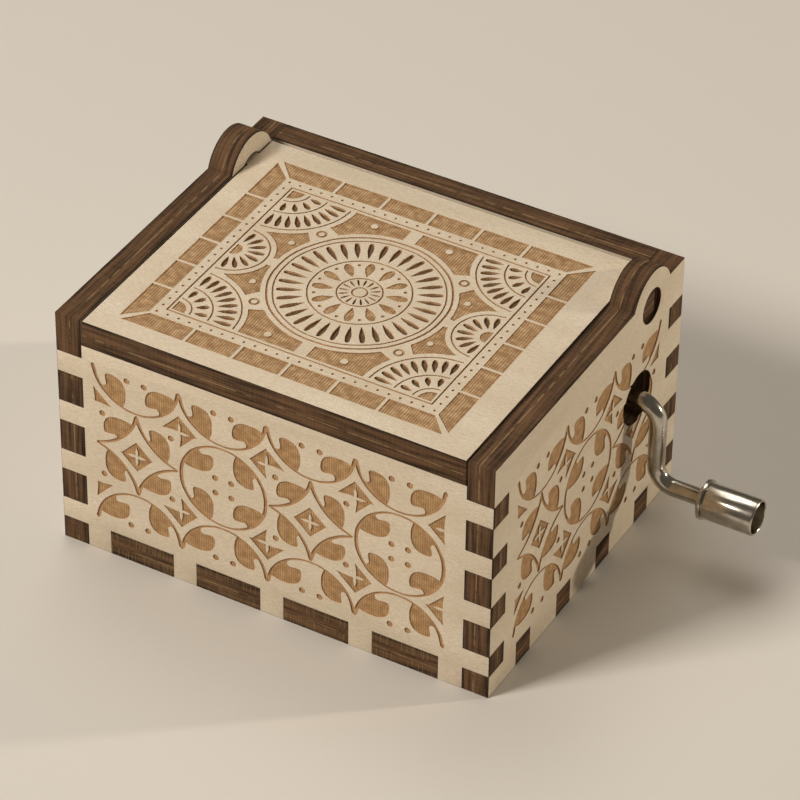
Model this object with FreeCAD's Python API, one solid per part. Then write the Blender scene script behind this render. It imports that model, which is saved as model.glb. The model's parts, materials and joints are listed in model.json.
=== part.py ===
# Hand-cranked comb music box in a finger-jointed plywood case.
#
# A case of five laser-cut plywood walls carries an 18-note comb movement. Turning the wire
# crank turns a worm, the worm turns the wheel on the pinned cylinder, and the pins pluck the
# comb. The lid turns on two pegs of its own, in holes through the ears of the side walls.
#
# Frame: origin at the centre of the case's underside, +X to the crank side, +Y to the hinge
# side, +Z up. Millimetres.
import FreeCAD, Part
import math
import os
from FreeCAD import Vector

# ---------------------------------------------------------------- case
BOX_WIDTH = 64.0
BOX_DEPTH = 51.5
BOX_HEIGHT = 37.0
PLY = 3.8
HALF_WIDTH = BOX_WIDTH / 2
HALF_DEPTH = BOX_DEPTH / 2
INNER_HALF_WIDTH = HALF_WIDTH - PLY
INNER_HALF_DEPTH = HALF_DEPTH - PLY

# Corner fingers: tabs of the front and back walls that show in the side walls.
CORNER_TAB_COUNT = 4
CORNER_TAB_START = 3.5
CORNER_TAB_HEIGHT = 3.35
CORNER_TAB_PITCH = 8.08

# Tabs of the base plate, and the feet of the walls between them.
BASE_TAB_COUNT = 4
BASE_TAB_FRONT = 9.6
BASE_TAB_SIDE = 3.7

# ---------------------------------------------------------------- lid
PIVOT_INSET = 9.3
PIVOT_Y = HALF_DEPTH - PIVOT_INSET
PIVOT_Z = BOX_HEIGHT - PLY / 2
PIVOT_HOLE_RADIUS = 2.5
PEG_CORNER_RADIUS = 2.44
PEG_RECESS = 0.4
EAR_RADIUS = 5.4
LID_SIDE_GAP = 0.25
LID_TAIL_SWEEP = 5.3

# ---------------------------------------------------------------- crank and worm drive
CRANK_FROM_FRONT = 39.45
CRANK_Y = CRANK_FROM_FRONT - HALF_DEPTH
CRANK_Z = 21.9
CRANK_HOLE_RADIUS = 3.8
WIRE_RADIUS = 1.2
ARM_X = HALF_WIDTH + 3.2
BEND_RADIUS = 3.0
THROW = 12.6
KNOB_START_X = HALF_WIDTH + 10.5
KNOB_LENGTH = 7.9
KNOB_BODY_RADIUS = 2.55
KNOB_CAVITY_RADIUS = 2.2
KNOB_END_WALL = 1.0
KNOB_FLANGE_RADIUS = 2.8
KNOB_FLANGE_LENGTH = 0.5
KNOB_FLANGE_BEVEL = 0.12
KNOB_NECK_RADIUS = 2.35
KNOB_NECK_LENGTH = 0.2
KNOB_LIP_BEVEL = 0.22
KNOB_RUNNING_GAP = 0.08
CRANK_HEAD_RADIUS = 1.75
CRANK_HEAD_HEIGHT = 0.7
CRANK_HEAD_BEVEL = 0.35
CRANK_SHOULDER_RADIUS = 1.65
CRANK_SHOULDER_LENGTH = 0.5
SHAFT_END_PROUD = 0.8

MODULE = 0.5
TOOTH_PITCH = math.pi * MODULE
WHEEL_TEETH = 26
WHEEL_PITCH_RADIUS = MODULE * WHEEL_TEETH / 2
WORM_PITCH_RADIUS = 2.4
ADDENDUM = 0.45
DEDENDUM = 0.60
TOOTH_THICKNESS = 0.62
FLANK_ANGLE = 20.0
WHEEL_FACE = 3.0
WHEEL_HUB_PROUD = 0.7
WHEEL_DISH_DEPTH = 1.0
WHEEL_RIM = 0.9
SHOULDER_STEP = 0.4
SPIGOT_LENGTH = 1.5
HUB_RADIUS = 2.2
WORM_THREAD_TURNS = 2
THREAD_RUN_OUT_TURNS = 0.5
WORM_HALF_LENGTH = 8.1
THREAD_ROOT_SUNK = 0.2

# ---------------------------------------------------------------- movement
BEDPLATE_THICKNESS = 1.8
BEDPLATE_TOP = PLY + BEDPLATE_THICKNESS
BEDPLATE_LEFT = -23.5
BEDPLATE_RIGHT = 18.0
BEDPLATE_FRONT = -15.5
BEDPLATE_BACK = 21.4
BEDPLATE_CORNER = 2.5
CAST_OVERLAP = BEDPLATE_THICKNESS / 2
COMB_RIB_SETBACK = 0.6

CYLINDER_X = 7.0
CYLINDER_Z = CRANK_Z - WORM_PITCH_RADIUS - WHEEL_PITCH_RADIUS
CYLINDER_RADIUS = 6.5
CYLINDER_WALL = 0.7
CYLINDER_FRONT = -8.8
CYLINDER_LENGTH = 19.6
CYLINDER_BACK = CYLINDER_FRONT + CYLINDER_LENGTH
CYLINDER_BORE = CYLINDER_RADIUS - CYLINDER_WALL
PIN_RADIUS = 0.2
PIN_PROUD = 0.35
PIN_TIP_RADIUS = CYLINDER_RADIUS + PIN_PROUD
BEATS = 42
SILENT_BEATS = 6
END_CAP_THICKNESS = 1.2
END_CAP_HUB_LENGTH = 1.2

ARBOR_RADIUS = 1.0
JOURNAL_RADIUS = 0.8
JOURNAL_LENGTH = 1.8
RUNNING_CLEARANCE = 0.05
END_PLAY = 0.2
FRONT_BRACKET_GAP = 0.5
BRACKET_THICKNESS = 1.2
BRACKET_HALF_WIDTH = 3.5
BRACKET_HEAD_RADIUS = 3.2
BRACKET_NECK = 2.5
BRACKET_BEND_RADIUS = 0.4
SCREW_EDGE_GAP = 0.1

NOTES = 18
NOTE_PITCH = 1.0
TINE_WIDTH = 0.76
TINE_THICKNESS = 0.7
TINE_SHORTEST = 9.0
TINE_LONGEST = 16.0
TINE_TIP_GAP = 0.05
WEIGHTED_TINES = 7
WEIGHT_LENGTH = 2.4
WEIGHT_SETBACK = 1.0
WEIGHT_SIDE_GAP = 0.06
WEIGHT_DEEPEST = 1.7
WEIGHT_STEP = 0.15
COMB_THICKNESS = 1.8
COMB_ABOVE_AXIS = 1.15
COMB_TOP = CYLINDER_Z + COMB_ABOVE_AXIS
COMB_BACK_X = -22.5
COMB_TIP_X = CYLINDER_X - PIN_TIP_RADIUS - TINE_TIP_GAP
COMB_CENTRE_Y = CYLINDER_FRONT + CYLINDER_LENGTH / 2
COMB_HALF = NOTES * NOTE_PITCH / 2
COMB_SCREW_X = -19.0
COMB_SCREW_SPREAD = 4.5

LUG_THICKNESS = 1.6
LUG_HEAD_RADIUS = 2.6
LUG_FOOT_HALF_WIDTH = 3.5

# Machine screws of the movement: M2 above, M2.5 countersunk from below.
SMALL_SCREW_RADIUS = 1.0
SMALL_HEAD_RADIUS = 1.6
SMALL_HEAD_HEIGHT = 1.1
SMALL_HEAD_BEVEL = 0.2
COMB_SCREW_LENGTH = 5.5
COMB_SCREW_HOLE_DEPTH = 5.0
BRACKET_SCREW_SHORT = 0.1
SCREW_SLOT_WIDTH = 0.45
SCREW_SLOT_DEPTH = 0.5
MOUNT_SCREW_RADIUS = 1.25
MOUNT_SCREW_HEAD_RADIUS = 2.3
MOUNT_SCREW_SUNK = 0.15
MOUNT_SCREW_SHORT = 0.4
MOUNT_SCREW_CLEARANCE = 0.1
MOUNT_BOSS_RADIUS = 2.4
MOUNT_BOSS_TOP = BEDPLATE_TOP + 1.6
MOUNT_SCREW_PLACES = [(-19.5, -12.3), (13.8, -12.3), (-9.5, 17.2)]

X_AXIS = Vector(1, 0, 0)
Y_AXIS = Vector(0, 1, 0)
Z_AXIS = Vector(0, 0, 1)
ORIGIN = Vector(0, 0, 0)


# ---------------------------------------------------------------- shape helpers
def block(x_low, x_high, y_low, y_high, z_low, z_high):
    """A rectangular block between two corners."""
    return Part.makeBox(x_high - x_low, y_high - y_low, z_high - z_low, Vector(x_low, y_low, z_low))


def rod(radius, length, start, axis):
    """A round bar from start along axis."""
    return Part.makeCylinder(radius, length, start, axis)


def prism(points, push):
    """The outline through the points, pushed along a vector."""
    outline = Part.makePolygon(points + [points[0]])
    return Part.Face(outline).extrude(push)


def fuse(shapes):
    """One solid from several that touch or overlap."""
    return shapes[0].multiFuse(shapes[1:]).removeSplitter()


def cut(shape, tools):
    """The shape less every tool."""
    return shape.cut(Part.makeCompound(tools))


def turned(profile, start, axis):
    """A turned solid from its half-section, as pairs of distance along the axis and radius."""
    outward = axis.cross(Vector(axis.y, axis.z, axis.x))
    points = [start + axis * along + outward * radius for along, radius in profile]
    face = Part.Face(Part.makePolygon(points + [points[0]]))
    return face.revolve(start, axis, 360)


# ---------------------------------------------------------------- plywood case
def corner_tab_spans():
    """Heights of the front and back walls' tabs, low and high."""
    spans = []
    for index in range(CORNER_TAB_COUNT):
        low = CORNER_TAB_START + index * CORNER_TAB_PITCH
        spans.append((low, low + CORNER_TAB_HEIGHT))
    return spans


def base_tab_spans(half_length, tab_length):
    """Places of the base plate's tabs along an edge, evenly spread between feet."""
    foot_length = (2 * half_length - BASE_TAB_COUNT * tab_length) / (BASE_TAB_COUNT + 1)
    spans = []
    for index in range(BASE_TAB_COUNT):
        low = -half_length + foot_length + index * (foot_length + tab_length)
        spans.append((low, low + tab_length))
    return spans


def end_wall(y_low, height):
    """A wall between the side walls, tabbed into them, with notches for the base plate."""
    y_high = y_low + PLY
    pieces = [block(-INNER_HALF_WIDTH, INNER_HALF_WIDTH, y_low, y_high, 0, height)]
    for low, high in corner_tab_spans():
        pieces.append(block(-HALF_WIDTH, HALF_WIDTH, y_low, y_high, low, high))
    notches = []
    for low, high in base_tab_spans(INNER_HALF_WIDTH, BASE_TAB_FRONT):
        notches.append(block(low, high, y_low, y_high, 0, PLY))
    return cut(fuse(pieces), notches)


def side_wall(x_low):
    """A side wall with its hinge ear, finger notches and pivot hole."""
    x_high = x_low + PLY
    wall = block(x_low, x_high, -HALF_DEPTH, HALF_DEPTH, 0, BOX_HEIGHT)
    ear = rod(EAR_RADIUS, PLY, Vector(x_low, PIVOT_Y, PIVOT_Z), X_AXIS)
    cuts = [rod(PIVOT_HOLE_RADIUS, PLY, Vector(x_low, PIVOT_Y, PIVOT_Z), X_AXIS)]
    for low, high in corner_tab_spans():
        cuts.append(block(x_low, x_high, -HALF_DEPTH, -INNER_HALF_DEPTH, low, high))
        cuts.append(block(x_low, x_high, INNER_HALF_DEPTH, HALF_DEPTH, low, high))
    for low, high in base_tab_spans(HALF_DEPTH, BASE_TAB_SIDE):
        cuts.append(block(x_low, x_high, low, high, 0, PLY))
    return cut(fuse([wall, ear]), cuts)


def make_front_panel():
    return end_wall(-HALF_DEPTH, BOX_HEIGHT - PLY)


def make_back_panel():
    return end_wall(INNER_HALF_DEPTH, BOX_HEIGHT)


def make_left_panel():
    return side_wall(-HALF_WIDTH)


def make_right_panel():
    hole = rod(CRANK_HOLE_RADIUS, PLY, Vector(INNER_HALF_WIDTH, CRANK_Y, CRANK_Z), X_AXIS)
    return side_wall(INNER_HALF_WIDTH).cut(hole)


def countersunk_hole(x, y):
    """Clearance hole through the base plate, countersunk from below for a mounting screw."""
    hole_radius = MOUNT_SCREW_RADIUS + MOUNT_SCREW_CLEARANCE
    mouth_radius = MOUNT_SCREW_HEAD_RADIUS + MOUNT_SCREW_CLEARANCE + MOUNT_SCREW_SUNK
    profile = [(0, 0), (0, mouth_radius), (mouth_radius - hole_radius, hole_radius),
               (PLY, hole_radius), (PLY, 0)]
    return turned(profile, Vector(x, y, 0), Z_AXIS)


def make_base_plate():
    plate = block(-INNER_HALF_WIDTH, INNER_HALF_WIDTH, -INNER_HALF_DEPTH, INNER_HALF_DEPTH, 0, PLY)
    pieces = [plate]
    for low, high in base_tab_spans(INNER_HALF_WIDTH, BASE_TAB_FRONT):
        pieces.append(block(low, high, -HALF_DEPTH, HALF_DEPTH, 0, PLY))
    for low, high in base_tab_spans(HALF_DEPTH, BASE_TAB_SIDE):
        pieces.append(block(-HALF_WIDTH, HALF_WIDTH, low, high, 0, PLY))
    holes = [countersunk_hole(x, y) for x, y in MOUNT_SCREW_PLACES]
    return cut(fuse(pieces), holes)


def make_lid():
    """Lid with two square pegs whose corners run in the pivot holes."""
    half_width = INNER_HALF_WIDTH - LID_SIDE_GAP
    tail = math.sqrt(LID_TAIL_SWEEP ** 2 - (PLY / 2) ** 2)
    plate = block(-half_width, half_width, -HALF_DEPTH, PIVOT_Y + tail, BOX_HEIGHT - PLY, BOX_HEIGHT)
    peg_half = math.sqrt(PEG_CORNER_RADIUS ** 2 - (PLY / 2) ** 2)
    peg_end = HALF_WIDTH - PEG_RECESS
    pegs = block(-peg_end, peg_end, PIVOT_Y - peg_half, PIVOT_Y + peg_half,
                 BOX_HEIGHT - PLY, BOX_HEIGHT)
    return fuse([plate, pegs])


# ---------------------------------------------------------------- movement frame
def lug(x_low):
    """Upright cast lug that carries the worm shaft."""
    foot_z = BEDPLATE_TOP - CAST_OVERLAP
    outline = [
        Vector(x_low, CRANK_Y - LUG_FOOT_HALF_WIDTH, foot_z),
        Vector(x_low, CRANK_Y + LUG_FOOT_HALF_WIDTH, foot_z),
        Vector(x_low, CRANK_Y + LUG_HEAD_RADIUS, CRANK_Z),
        Vector(x_low, CRANK_Y - LUG_HEAD_RADIUS, CRANK_Z),
    ]
    upright = prism(outline, Vector(LUG_THICKNESS, 0, 0))
    head = rod(LUG_HEAD_RADIUS, LUG_THICKNESS, Vector(x_low, CRANK_Y, CRANK_Z), X_AXIS)
    return upright.fuse(head)


def comb_front_x(y):
    """Where the comb's solid back ends and its tines begin, slanting with their length."""
    along = (y - (COMB_CENTRE_Y - COMB_HALF)) / (2 * COMB_HALF)
    return COMB_TIP_X - TINE_SHORTEST - along * (TINE_LONGEST - TINE_SHORTEST)


def make_bedplate():
    """Die-cast bedplate with the comb's rib, two worm lugs and three screw bosses."""
    plate = block(BEDPLATE_LEFT, BEDPLATE_RIGHT, BEDPLATE_FRONT, BEDPLATE_BACK, PLY, BEDPLATE_TOP)
    upright_edges = [edge for edge in plate.Edges if abs(edge.tangentAt(edge.FirstParameter).z) > 0.9]
    plate = plate.makeFillet(BEDPLATE_CORNER, upright_edges)
    front_y = COMB_CENTRE_Y - COMB_HALF
    back_y = COMB_CENTRE_Y + COMB_HALF
    foot_z = BEDPLATE_TOP - CAST_OVERLAP
    rib_outline = [
        Vector(COMB_BACK_X, front_y, foot_z),
        Vector(comb_front_x(front_y) - COMB_RIB_SETBACK, front_y, foot_z),
        Vector(comb_front_x(back_y) - COMB_RIB_SETBACK, back_y, foot_z),
        Vector(COMB_BACK_X, back_y, foot_z),
    ]
    rib = prism(rib_outline, Vector(0, 0, COMB_TOP - COMB_THICKNESS - foot_z))
    left_lug = lug(CYLINDER_X - WORM_HALF_LENGTH - LUG_THICKNESS - END_PLAY / 2)
    right_lug = lug(CYLINDER_X + WORM_HALF_LENGTH + END_PLAY / 2)
    bosses = []
    for x, y in MOUNT_SCREW_PLACES:
        bosses.append(rod(MOUNT_BOSS_RADIUS, MOUNT_BOSS_TOP - foot_z, Vector(x, y, foot_z), Z_AXIS))
    casting = fuse([plate, rib, left_lug, right_lug] + bosses)
    shaft_hole = rod(WIRE_RADIUS + RUNNING_CLEARANCE, BOX_WIDTH,
                     Vector(-HALF_WIDTH, CRANK_Y, CRANK_Z), X_AXIS)
    holes = [shaft_hole]
    for x, y in MOUNT_SCREW_PLACES:
        holes.append(rod(MOUNT_SCREW_RADIUS, MOUNT_BOSS_TOP, Vector(x, y, 0), Z_AXIS))
    for x, y in comb_screw_places():
        hole_start = Vector(x, y, COMB_TOP - COMB_THICKNESS - COMB_SCREW_HOLE_DEPTH)
        holes.append(rod(SMALL_SCREW_RADIUS, COMB_SCREW_HOLE_DEPTH, hole_start, Z_AXIS))
    for x, y in bracket_screw_places():
        holes.append(rod(SMALL_SCREW_RADIUS, BEDPLATE_THICKNESS, Vector(x, y, PLY), Z_AXIS))
    return cut(casting, holes)


def comb_screw_places():
    """Centres of the comb's two screws."""
    return [(COMB_SCREW_X, COMB_CENTRE_Y - COMB_SCREW_SPREAD),
            (COMB_SCREW_X, COMB_CENTRE_Y + COMB_SCREW_SPREAD)]


def front_bracket_y():
    """Inner face of the front bracket."""
    return CYLINDER_FRONT - FRONT_BRACKET_GAP - END_PLAY


def back_bracket_y():
    """Inner face of the back bracket, behind the worm wheel's hub."""
    return CRANK_Y + WHEEL_FACE / 2 + WHEEL_HUB_PROUD + END_PLAY


def bracket_screw_reach():
    """From a bracket's inner face out to its screw, clear of the bend."""
    return BRACKET_THICKNESS + BRACKET_BEND_RADIUS + SMALL_HEAD_RADIUS + SCREW_EDGE_GAP


def bracket_screw_places():
    """One screw through the foot of each bracket."""
    reach = bracket_screw_reach()
    return [(CYLINDER_X, front_bracket_y() - reach), (CYLINDER_X, back_bracket_y() + reach)]


def edges_along_x(shape, y, z):
    """The edges of shape that run along X through the point (y, z)."""
    found = []
    for edge in shape.Edges:
        box = edge.BoundBox
        if abs(box.YMin - y) + abs(box.YMax - y) + abs(box.ZMin - z) + abs(box.ZMax - z) < 1e-4:
            found.append(edge)
    return found


def bracket(inner_y, outward):
    """Pressed bearing bracket: a foot on the bedplate, a rounded bend and a round-headed upright."""
    outer_y = inner_y + outward * BRACKET_THICKNESS
    screw_y = inner_y + outward * bracket_screw_reach()
    foot_y = screw_y + outward * (SMALL_HEAD_RADIUS + SCREW_EDGE_GAP)
    foot_top = BEDPLATE_TOP + BRACKET_THICKNESS
    left = CYLINDER_X - BRACKET_HALF_WIDTH
    right = CYLINDER_X + BRACKET_HALF_WIDTH
    top = CYLINDER_Z + BRACKET_HEAD_RADIUS
    sheet = prism([
        Vector(left, inner_y, BEDPLATE_TOP),
        Vector(left, foot_y, BEDPLATE_TOP),
        Vector(left, foot_y, foot_top),
        Vector(left, outer_y, foot_top),
        Vector(left, outer_y, top),
        Vector(left, inner_y, top),
    ], Vector(right - left, 0, 0))
    sheet = sheet.makeFillet(BRACKET_BEND_RADIUS, edges_along_x(sheet, outer_y, foot_top))
    outside_radius = BRACKET_BEND_RADIUS + BRACKET_THICKNESS
    sheet = sheet.makeFillet(outside_radius, edges_along_x(sheet, inner_y, BEDPLATE_TOP))
    through = Vector(0, foot_y - inner_y, 0)
    upright = prism([
        Vector(left, inner_y, BEDPLATE_TOP),
        Vector(right, inner_y, BEDPLATE_TOP),
        Vector(right, inner_y, CYLINDER_Z - BRACKET_NECK),
        Vector(CYLINDER_X + BRACKET_HEAD_RADIUS, inner_y, CYLINDER_Z),
        Vector(CYLINDER_X - BRACKET_HEAD_RADIUS, inner_y, CYLINDER_Z),
        Vector(left, inner_y, CYLINDER_Z - BRACKET_NECK),
    ], through)
    centre = Vector(CYLINDER_X, inner_y, CYLINDER_Z)
    head = rod(BRACKET_HEAD_RADIUS, through.Length, centre, through)
    bearing = rod(JOURNAL_RADIUS + RUNNING_CLEARANCE, BRACKET_THICKNESS, centre, through)
    screw_hole = rod(SMALL_SCREW_RADIUS + MOUNT_SCREW_CLEARANCE, BRACKET_THICKNESS,
                     Vector(CYLINDER_X, screw_y, BEDPLATE_TOP), Z_AXIS)
    return cut(sheet.common(fuse([upright, head])), [bearing, screw_hole])


def make_front_bracket():
    return bracket(front_bracket_y(), -1)


def make_back_bracket():
    return bracket(back_bracket_y(), 1)


# ---------------------------------------------------------------- comb
def tine_y(index):
    """Centre of a tine, and of the pins that pluck it."""
    return COMB_CENTRE_Y - COMB_HALF + (index + 0.5) * NOTE_PITCH


def make_comb():
    """Spring-steel comb: a thick back with two screw holes, and 18 thinner tines."""
    top = COMB_TOP - COMB_THICKNESS
    outline = [Vector(COMB_BACK_X, COMB_CENTRE_Y - COMB_HALF, top)]
    for index in range(NOTES):
        middle = tine_y(index)
        low = middle - TINE_WIDTH / 2
        high = middle + TINE_WIDTH / 2
        root_x = comb_front_x(middle)
        outline.append(Vector(root_x, low, top))
        outline.append(Vector(COMB_TIP_X, low, top))
        outline.append(Vector(COMB_TIP_X, high, top))
        outline.append(Vector(root_x, high, top))
    outline.append(Vector(COMB_BACK_X, COMB_CENTRE_Y + COMB_HALF, top))
    comb = prism(outline, Vector(0, 0, COMB_THICKNESS))
    front_y = COMB_CENTRE_Y - COMB_HALF
    back_y = COMB_CENTRE_Y + COMB_HALF
    relief = prism([
        Vector(comb_front_x(front_y), front_y, top),
        Vector(COMB_TIP_X, front_y, top),
        Vector(COMB_TIP_X, back_y, top),
        Vector(comb_front_x(back_y), back_y, top),
    ], Vector(0, 0, COMB_THICKNESS - TINE_THICKNESS))
    cuts = [relief]
    for x, y in comb_screw_places():
        cuts.append(rod(SMALL_SCREW_RADIUS + MOUNT_SCREW_CLEARANCE, COMB_THICKNESS,
                        Vector(x, y, top), Z_AXIS))
    return cut(comb, cuts)


def make_tuning_weights():
    """Lead pads under the tips of the longest tines, deeper on the lower notes."""
    weights = []
    for step in range(WEIGHTED_TINES):
        middle = tine_y(NOTES - 1 - step)
        half_width = TINE_WIDTH / 2 - WEIGHT_SIDE_GAP
        depth = WEIGHT_DEEPEST - WEIGHT_STEP * step
        under = COMB_TOP - TINE_THICKNESS
        tip = COMB_TIP_X - WEIGHT_SETBACK
        weights.append(block(tip - WEIGHT_LENGTH, tip, middle - half_width, middle + half_width,
                             under - depth, under))
    return Part.makeCompound(weights)


# ---------------------------------------------------------------- screws
def slot_across(x, y, radius, z_low):
    """The driver slot of a screw head."""
    return block(x - radius, x + radius, y - SCREW_SLOT_WIDTH / 2, y + SCREW_SLOT_WIDTH / 2,
                 z_low, z_low + SCREW_SLOT_DEPTH)


def cheese_screw(x, y, seat_z, shank_length):
    """Slotted cheese-head screw, driven down from seat_z."""
    profile = [
        (-shank_length, 0),
        (-shank_length, SMALL_SCREW_RADIUS),
        (0, SMALL_SCREW_RADIUS),
        (0, SMALL_HEAD_RADIUS),
        (SMALL_HEAD_HEIGHT - SMALL_HEAD_BEVEL, SMALL_HEAD_RADIUS),
        (SMALL_HEAD_HEIGHT, SMALL_HEAD_RADIUS - SMALL_HEAD_BEVEL),
        (SMALL_HEAD_HEIGHT, 0),
    ]
    screw = turned(profile, Vector(x, y, seat_z), Z_AXIS)
    return screw.cut(slot_across(x, y, SMALL_HEAD_RADIUS, seat_z + SMALL_HEAD_HEIGHT - SCREW_SLOT_DEPTH))


def make_comb_screws():
    return Part.makeCompound([cheese_screw(x, y, COMB_TOP, COMB_SCREW_LENGTH)
                              for x, y in comb_screw_places()])


def make_bracket_screws():
    seat_z = BEDPLATE_TOP + BRACKET_THICKNESS
    shank_length = BRACKET_THICKNESS + BEDPLATE_THICKNESS - BRACKET_SCREW_SHORT
    return Part.makeCompound([cheese_screw(x, y, seat_z, shank_length)
                              for x, y in bracket_screw_places()])


def mounting_screw(x, y):
    """Countersunk screw, up through the base plate into a boss of the bedplate."""
    profile = [
        (MOUNT_SCREW_SUNK, 0),
        (MOUNT_SCREW_SUNK, MOUNT_SCREW_HEAD_RADIUS),
        (MOUNT_SCREW_SUNK + MOUNT_SCREW_HEAD_RADIUS - MOUNT_SCREW_RADIUS, MOUNT_SCREW_RADIUS),
        (MOUNT_BOSS_TOP - MOUNT_SCREW_SHORT, MOUNT_SCREW_RADIUS),
        (MOUNT_BOSS_TOP - MOUNT_SCREW_SHORT, 0),
    ]
    screw = turned(profile, Vector(x, y, 0), Z_AXIS)
    return screw.cut(slot_across(x, y, MOUNT_SCREW_HEAD_RADIUS, MOUNT_SCREW_SUNK))


def make_mounting_screws():
    return Part.makeCompound([mounting_screw(x, y) for x, y in MOUNT_SCREW_PLACES])


# ---------------------------------------------------------------- cylinder
def pin_places():
    """Track and angle of every pin: a rising and falling broken chord with a bass note each bar.

    Angles run about the cylinder's axis from straight up towards +X. The comb's side, at -X,
    is silent for a few beats, where the piece ends and starts again.
    """
    places = []
    beat_angle = 360.0 / BEATS
    first_angle = -90.0 + SILENT_BEATS / 2 * beat_angle
    chord = (5, 8, 11, 15, 11, 8)
    for beat in range(BEATS - SILENT_BEATS + 1):
        angle = first_angle + beat * beat_angle
        bar = beat // len(chord)
        places.append(((chord[beat % len(chord)] + 2 * bar) % NOTES, angle))
        if beat % len(chord) == 0:
            places.append(((2 + 5 * bar) % 5, angle))
        if beat % 4 == 2:
            places.append((NOTES - 1 - (3 * bar) % 6, angle))
    return sorted(set(places))


def pin(track, angle):
    """A square pin of the cylinder, from inside its wall out to the pins' circle."""
    turn = math.radians(angle)
    outward = Vector(math.sin(turn), 0, math.cos(turn))
    around = Vector(math.cos(turn), 0, -math.sin(turn)) * PIN_RADIUS
    along = Y_AXIS * PIN_RADIUS
    foot_radius = CYLINDER_RADIUS - CYLINDER_WALL / 2
    foot = Vector(CYLINDER_X, tine_y(track), CYLINDER_Z) + outward * foot_radius
    corners = [foot + around, foot + along, foot - around, foot - along]
    return prism(corners, outward * (PIN_TIP_RADIUS - foot_radius))


def make_cylinder():
    """Brass cylinder with its steel pins standing proud of it."""
    start = Vector(CYLINDER_X, CYLINDER_FRONT, CYLINDER_Z)
    sleeve = rod(CYLINDER_RADIUS, CYLINDER_LENGTH, start, Y_AXIS)
    pins = [pin(track, angle) for track, angle in pin_places()]
    bore = rod(CYLINDER_BORE, CYLINDER_LENGTH, start, Y_AXIS)
    return sleeve.multiFuse(pins).cut(bore)


def make_end_cap():
    """Brass disc with a hub, which closes the cylinder's front end on the arbor."""
    hub_end = END_CAP_THICKNESS + END_CAP_HUB_LENGTH
    profile = [
        (0, ARBOR_RADIUS),
        (0, CYLINDER_BORE),
        (END_CAP_THICKNESS, CYLINDER_BORE),
        (END_CAP_THICKNESS, HUB_RADIUS),
        (hub_end, HUB_RADIUS),
        (hub_end, ARBOR_RADIUS),
    ]
    return turned(profile, Vector(CYLINDER_X, CYLINDER_FRONT, CYLINDER_Z), Y_AXIS)


def make_arbor():
    """Steel arbor with a smaller journal turned on each end."""
    front = front_bracket_y() + END_PLAY
    back = back_bracket_y() - END_PLAY
    profile = [
        (front - JOURNAL_LENGTH, 0),
        (front - JOURNAL_LENGTH, JOURNAL_RADIUS),
        (front, JOURNAL_RADIUS),
        (front, ARBOR_RADIUS),
        (back, ARBOR_RADIUS),
        (back, JOURNAL_RADIUS),
        (back + JOURNAL_LENGTH, JOURNAL_RADIUS),
        (back + JOURNAL_LENGTH, 0),
    ]
    return turned(profile, Vector(CYLINDER_X, 0, CYLINDER_Z), Y_AXIS)


def wheel_outline(y, twist):
    """The worm wheel's tooth outline in the plane at y, turned by twist."""
    half_pitch_angle = TOOTH_THICKNESS / 2 / WHEEL_PITCH_RADIUS
    flank = math.tan(math.radians(FLANK_ANGLE) - half_pitch_angle)
    tip_radius = WHEEL_PITCH_RADIUS + ADDENDUM
    root_radius = WHEEL_PITCH_RADIUS - DEDENDUM
    tip_half = (TOOTH_THICKNESS / 2 - ADDENDUM * flank) / tip_radius
    root_half = (TOOTH_THICKNESS / 2 + DEDENDUM * flank) / root_radius
    points = []
    for tooth in range(WHEEL_TEETH):
        middle = twist + tooth * 2 * math.pi / WHEEL_TEETH
        corners = [(root_radius, -root_half), (tip_radius, -tip_half),
                   (tip_radius, tip_half), (root_radius, root_half)]
        for radius, offset in corners:
            angle = middle + offset
            points.append(Vector(CYLINDER_X + radius * math.sin(angle), y,
                                 CYLINDER_Z + radius * math.cos(angle)))
    return Part.makePolygon(points + [points[0]])


def make_worm_wheel():
    """Moulded worm wheel with slanted teeth and a spigot that plugs the cylinder."""
    lead_slope = TOOTH_PITCH / (2 * math.pi * WORM_PITCH_RADIUS)
    half_twist = lead_slope * WHEEL_FACE / 2 / WHEEL_PITCH_RADIUS
    front = CRANK_Y - WHEEL_FACE / 2
    back = CRANK_Y + WHEEL_FACE / 2
    outlines = [wheel_outline(front, -half_twist), wheel_outline(back, half_twist)]
    teeth = Part.makeLoft(outlines, True, True)
    shoulder = rod(CYLINDER_RADIUS - SHOULDER_STEP, front - CYLINDER_BACK,
                   Vector(CYLINDER_X, CYLINDER_BACK, CYLINDER_Z), Y_AXIS)
    spigot = rod(CYLINDER_BORE, SPIGOT_LENGTH,
                 Vector(CYLINDER_X, CYLINDER_BACK - SPIGOT_LENGTH, CYLINDER_Z), Y_AXIS)
    hub = rod(HUB_RADIUS, WHEEL_FACE / 2 + WHEEL_HUB_PROUD,
              Vector(CYLINDER_X, CRANK_Y, CYLINDER_Z), Y_AXIS)
    wheel = fuse([teeth, shoulder, spigot])
    dish_start = Vector(CYLINDER_X, back - WHEEL_DISH_DEPTH, CYLINDER_Z)
    dish = rod(WHEEL_PITCH_RADIUS - DEDENDUM - WHEEL_RIM, WHEEL_DISH_DEPTH, dish_start, Y_AXIS)
    bore = rod(ARBOR_RADIUS, BOX_DEPTH, Vector(CYLINDER_X, -HALF_DEPTH, CYLINDER_Z), Y_AXIS)
    return wheel.cut(dish).fuse(hub).removeSplitter().cut(bore)


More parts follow.
